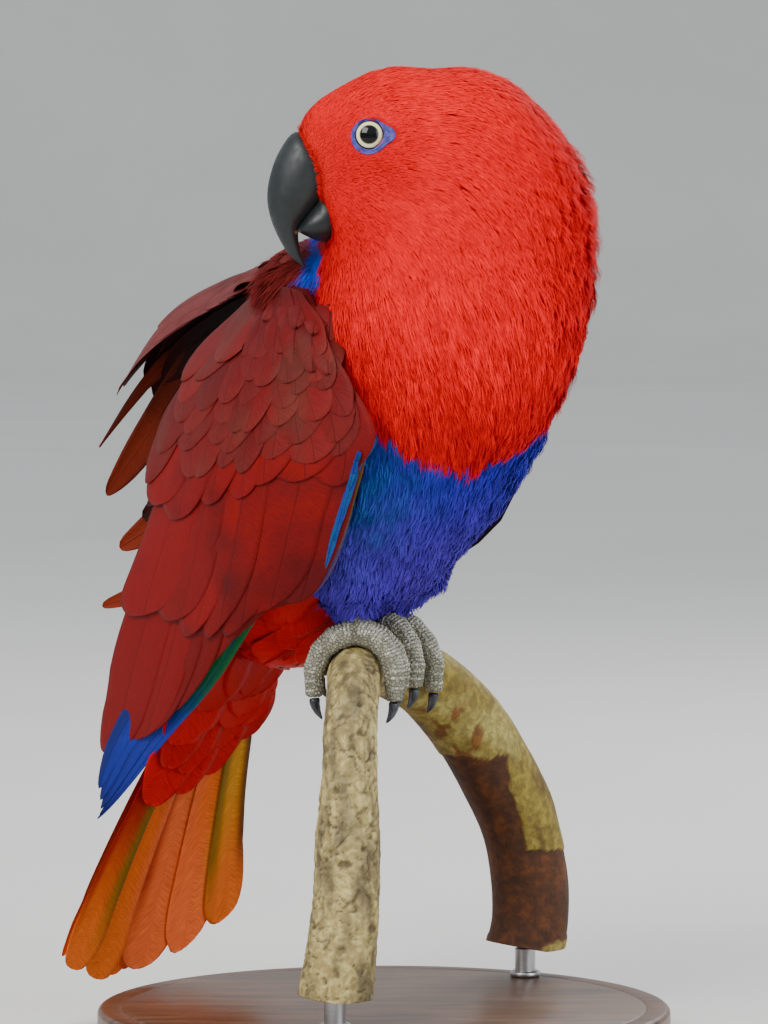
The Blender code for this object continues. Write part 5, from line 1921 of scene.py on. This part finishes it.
def turnedPiece(name, profile, middle, sides=128):
    # a closed shape turned round an upright axis, from (radius, height) points
    points = turnedPoints(profile, middle, sides)
    made = meshObject(name, points * mm, ringFaces(len(profile), sides, True))
    fixNormals(made)
    made.data.set_sharp_from_angle(angle=math.radians(50))
    return made


def woodMaterial():
    material, tree, shader = newMaterial("standWood", Roughness=0.4, Coat_Weight=0.2,
                                         Coat_Roughness=0.25)
    spread = addNode(tree, "ShaderNodeMapping", {"Vector": objectPlace(tree),
                                                 "Scale": (1.0, 9.0, 1.0)})
    grain = addNode(tree, "ShaderNodeTexNoise", {"Vector": spread.outputs[0], "Scale": 26.0,
                                                 "Detail": 8.0, "Roughness": 0.6,
                                                 "Distortion": 0.7})
    ramp = addNode(tree, "ShaderNodeMapRange", {"Value": grain.outputs["Fac"],
                                                "From Min": 0.35, "From Max": 0.65})
    colour = mixColours(tree, ramp.outputs[0], tone(52, 32, 20), tone(104, 70, 44))
    colourAndBump(tree, shader, colour, grain.outputs["Fac"], 0.12, 0.3)
    return material


def steelMaterial():
    material, tree, shader = newMaterial("standSteel", Metallic=1.0, Roughness=0.3)
    brushed = addNode(tree, "ShaderNodeMapping", {"Vector": objectPlace(tree),
                                                  "Scale": (1.0, 1.0, 18.0)})
    lines = addNode(tree, "ShaderNodeTexNoise", {"Vector": brushed.outputs[0], "Scale": 220.0,
                                                 "Detail": 4.0})
    rough = addNode(tree, "ShaderNodeMapRange", {"Value": lines.outputs["Fac"], "To Min": 0.24,
                                                 "To Max": 0.42})
    tree.links.new(rough.outputs[0], shader.inputs["Roughness"])
    colour = mixColours(tree, lines.outputs["Fac"], tone(150, 150, 152), tone(198, 198, 200))
    tree.links.new(colour, shader.inputs["Base Color"])
    return material


def makeStand():
    radius, height, edge = standSizes["radius"], standSizes["height"], standSizes["edge"]
    profile = [(radius - edge, 0), (radius - edge * 0.3, edge * 0.3), (radius, edge)]
    for k in range(7):
        turn = math.pi / 2 * k / 6
        profile.append((radius - 2 + 2 * math.cos(turn), height - 2 + 2 * math.sin(turn)))
    profile += [(radius - 7, height), (radius - 8, height - 0.5), (radius - 9, height)]
    putOn(turnedPiece("standBase", profile, (0, 0)), woodMaterial(), "stand_wood", "stand_base")
    steel = steelMaterial()
    ends = {"near": branchShape["line"][0][0], "far": branchShape["line"][-1][0]}
    for name, (x, y, _) in ends.items():
        rod, low, high = standSizes["rod"], height + 0.02, standSizes["rodTop"]
        profile = [(standSizes["collar"] - 0.4, low), (standSizes["collar"], low + 0.4),
                   (standSizes["collar"], low + 1.6), (standSizes["collar"] - 0.4, low + 2),
                   (rod, low + 2), (rod, high)]
        putOn(turnedPiece("standRod" + name.capitalize(), profile, (x, y), 48), steel,
              "stand_steel", "stand_rod_" + name)


makeStand()
print("stand made")


# Floor, light and camera

studio = {
    "floorTone": tone(214, 213, 210),
    "keyPower": 30.0,
    "fillPower": 16.0,
    "rimPower": 14.0,
    "world": 0.95,
    "cameraDistance": 1.85,
    "cameraTilt": 3.5,
    "lookHeight": 0.176,
    "frameHeight": 0.338,
}


def makeFloor():
    # a wide round floor whose far rim curves up into a backdrop
    flat, curve, wall = 6.0, 1.6, 0.8
    profile = [(0.02, 0), (1, 0), (3, 0), (flat, 0)]
    for k in range(1, 11):
        turn = math.pi / 2 * k / 10
        profile.append((flat + curve * math.sin(turn), curve - curve * math.cos(turn)))
    profile.append((flat + curve, curve + wall))
    sides = 96
    points = turnedPoints(profile, (0, 0), sides) - (0, 0, 0.0002)
    faces = ringFaces(len(profile), sides)
    faces.append(tuple(range(sides - 1, -1, -1)))
    return meshObject("floor", points, faces)


def floorMaterial():
    material, tree, shader = newMaterial("paleFloor", Roughness=0.85)
    faint = mottled(tree, 3.0, 0.3, 0.7)
    colour = mixColours(tree, faint.outputs["Mask"], studio["floorTone"] * 0.96,
                        studio["floorTone"])
    tree.links.new(colour, shader.inputs["Base Color"])
    return material


floor = makeFloor()
floor.data.materials.append(floorMaterial())


def addLight(name, place, size, power, tint=(1, 1, 1)):
    lamp = bpy.data.lights.new(name, "AREA")
    lamp.shape = "RECTANGLE"
    lamp.size, lamp.size_y = size
    lamp.energy = power
    lamp.color = tint
    obj = linked(name, lamp)
    obj.location = place
    aim = Vector((0, 0, 0.2)) - Vector(place)
    obj.rotation_euler = aim.to_track_quat("-Z", "Y").to_euler()


addLight("keyLight", (-0.9, -1.1, 1.25), (0.9, 0.9), studio["keyPower"], (1, 0.985, 0.96))
addLight("fillLight", (1.3, -1.0, 0.7), (1.1, 1.1), studio["fillPower"], (0.95, 0.98, 1))
addLight("rimLight", (0.7, 1.0, 1.1), (0.7, 0.7), studio["rimPower"])
world = bpy.data.worlds.new("softRoom")
world.use_nodes = True
backdrop = world.node_tree.nodes["Background"]
backdrop.inputs["Color"].default_value = (0.86, 0.89, 0.93, 1)
backdrop.inputs["Strength"].default_value = studio["world"]
bpy.context.scene.world = world

tilt = math.radians(studio["cameraTilt"])
lens = bpy.data.cameras.new("camera")
lens.sensor_fit = "VERTICAL"
lens.sensor_height = 24
lens.lens = 24 * studio["cameraDistance"] / studio["frameHeight"]
lens.clip_start = 0.05
camera = bpy.data.objects.new("camera", lens)
bpy.context.scene.collection.objects.link(camera)
camera.location = (0, -studio["cameraDistance"] * math.cos(tilt),
                   studio["lookHeight"] + studio["cameraDistance"] * math.sin(tilt))
camera.rotation_euler = (math.pi / 2 - tilt, 0, 0)
bpy.context.scene.camera = camera
print("studio ready")
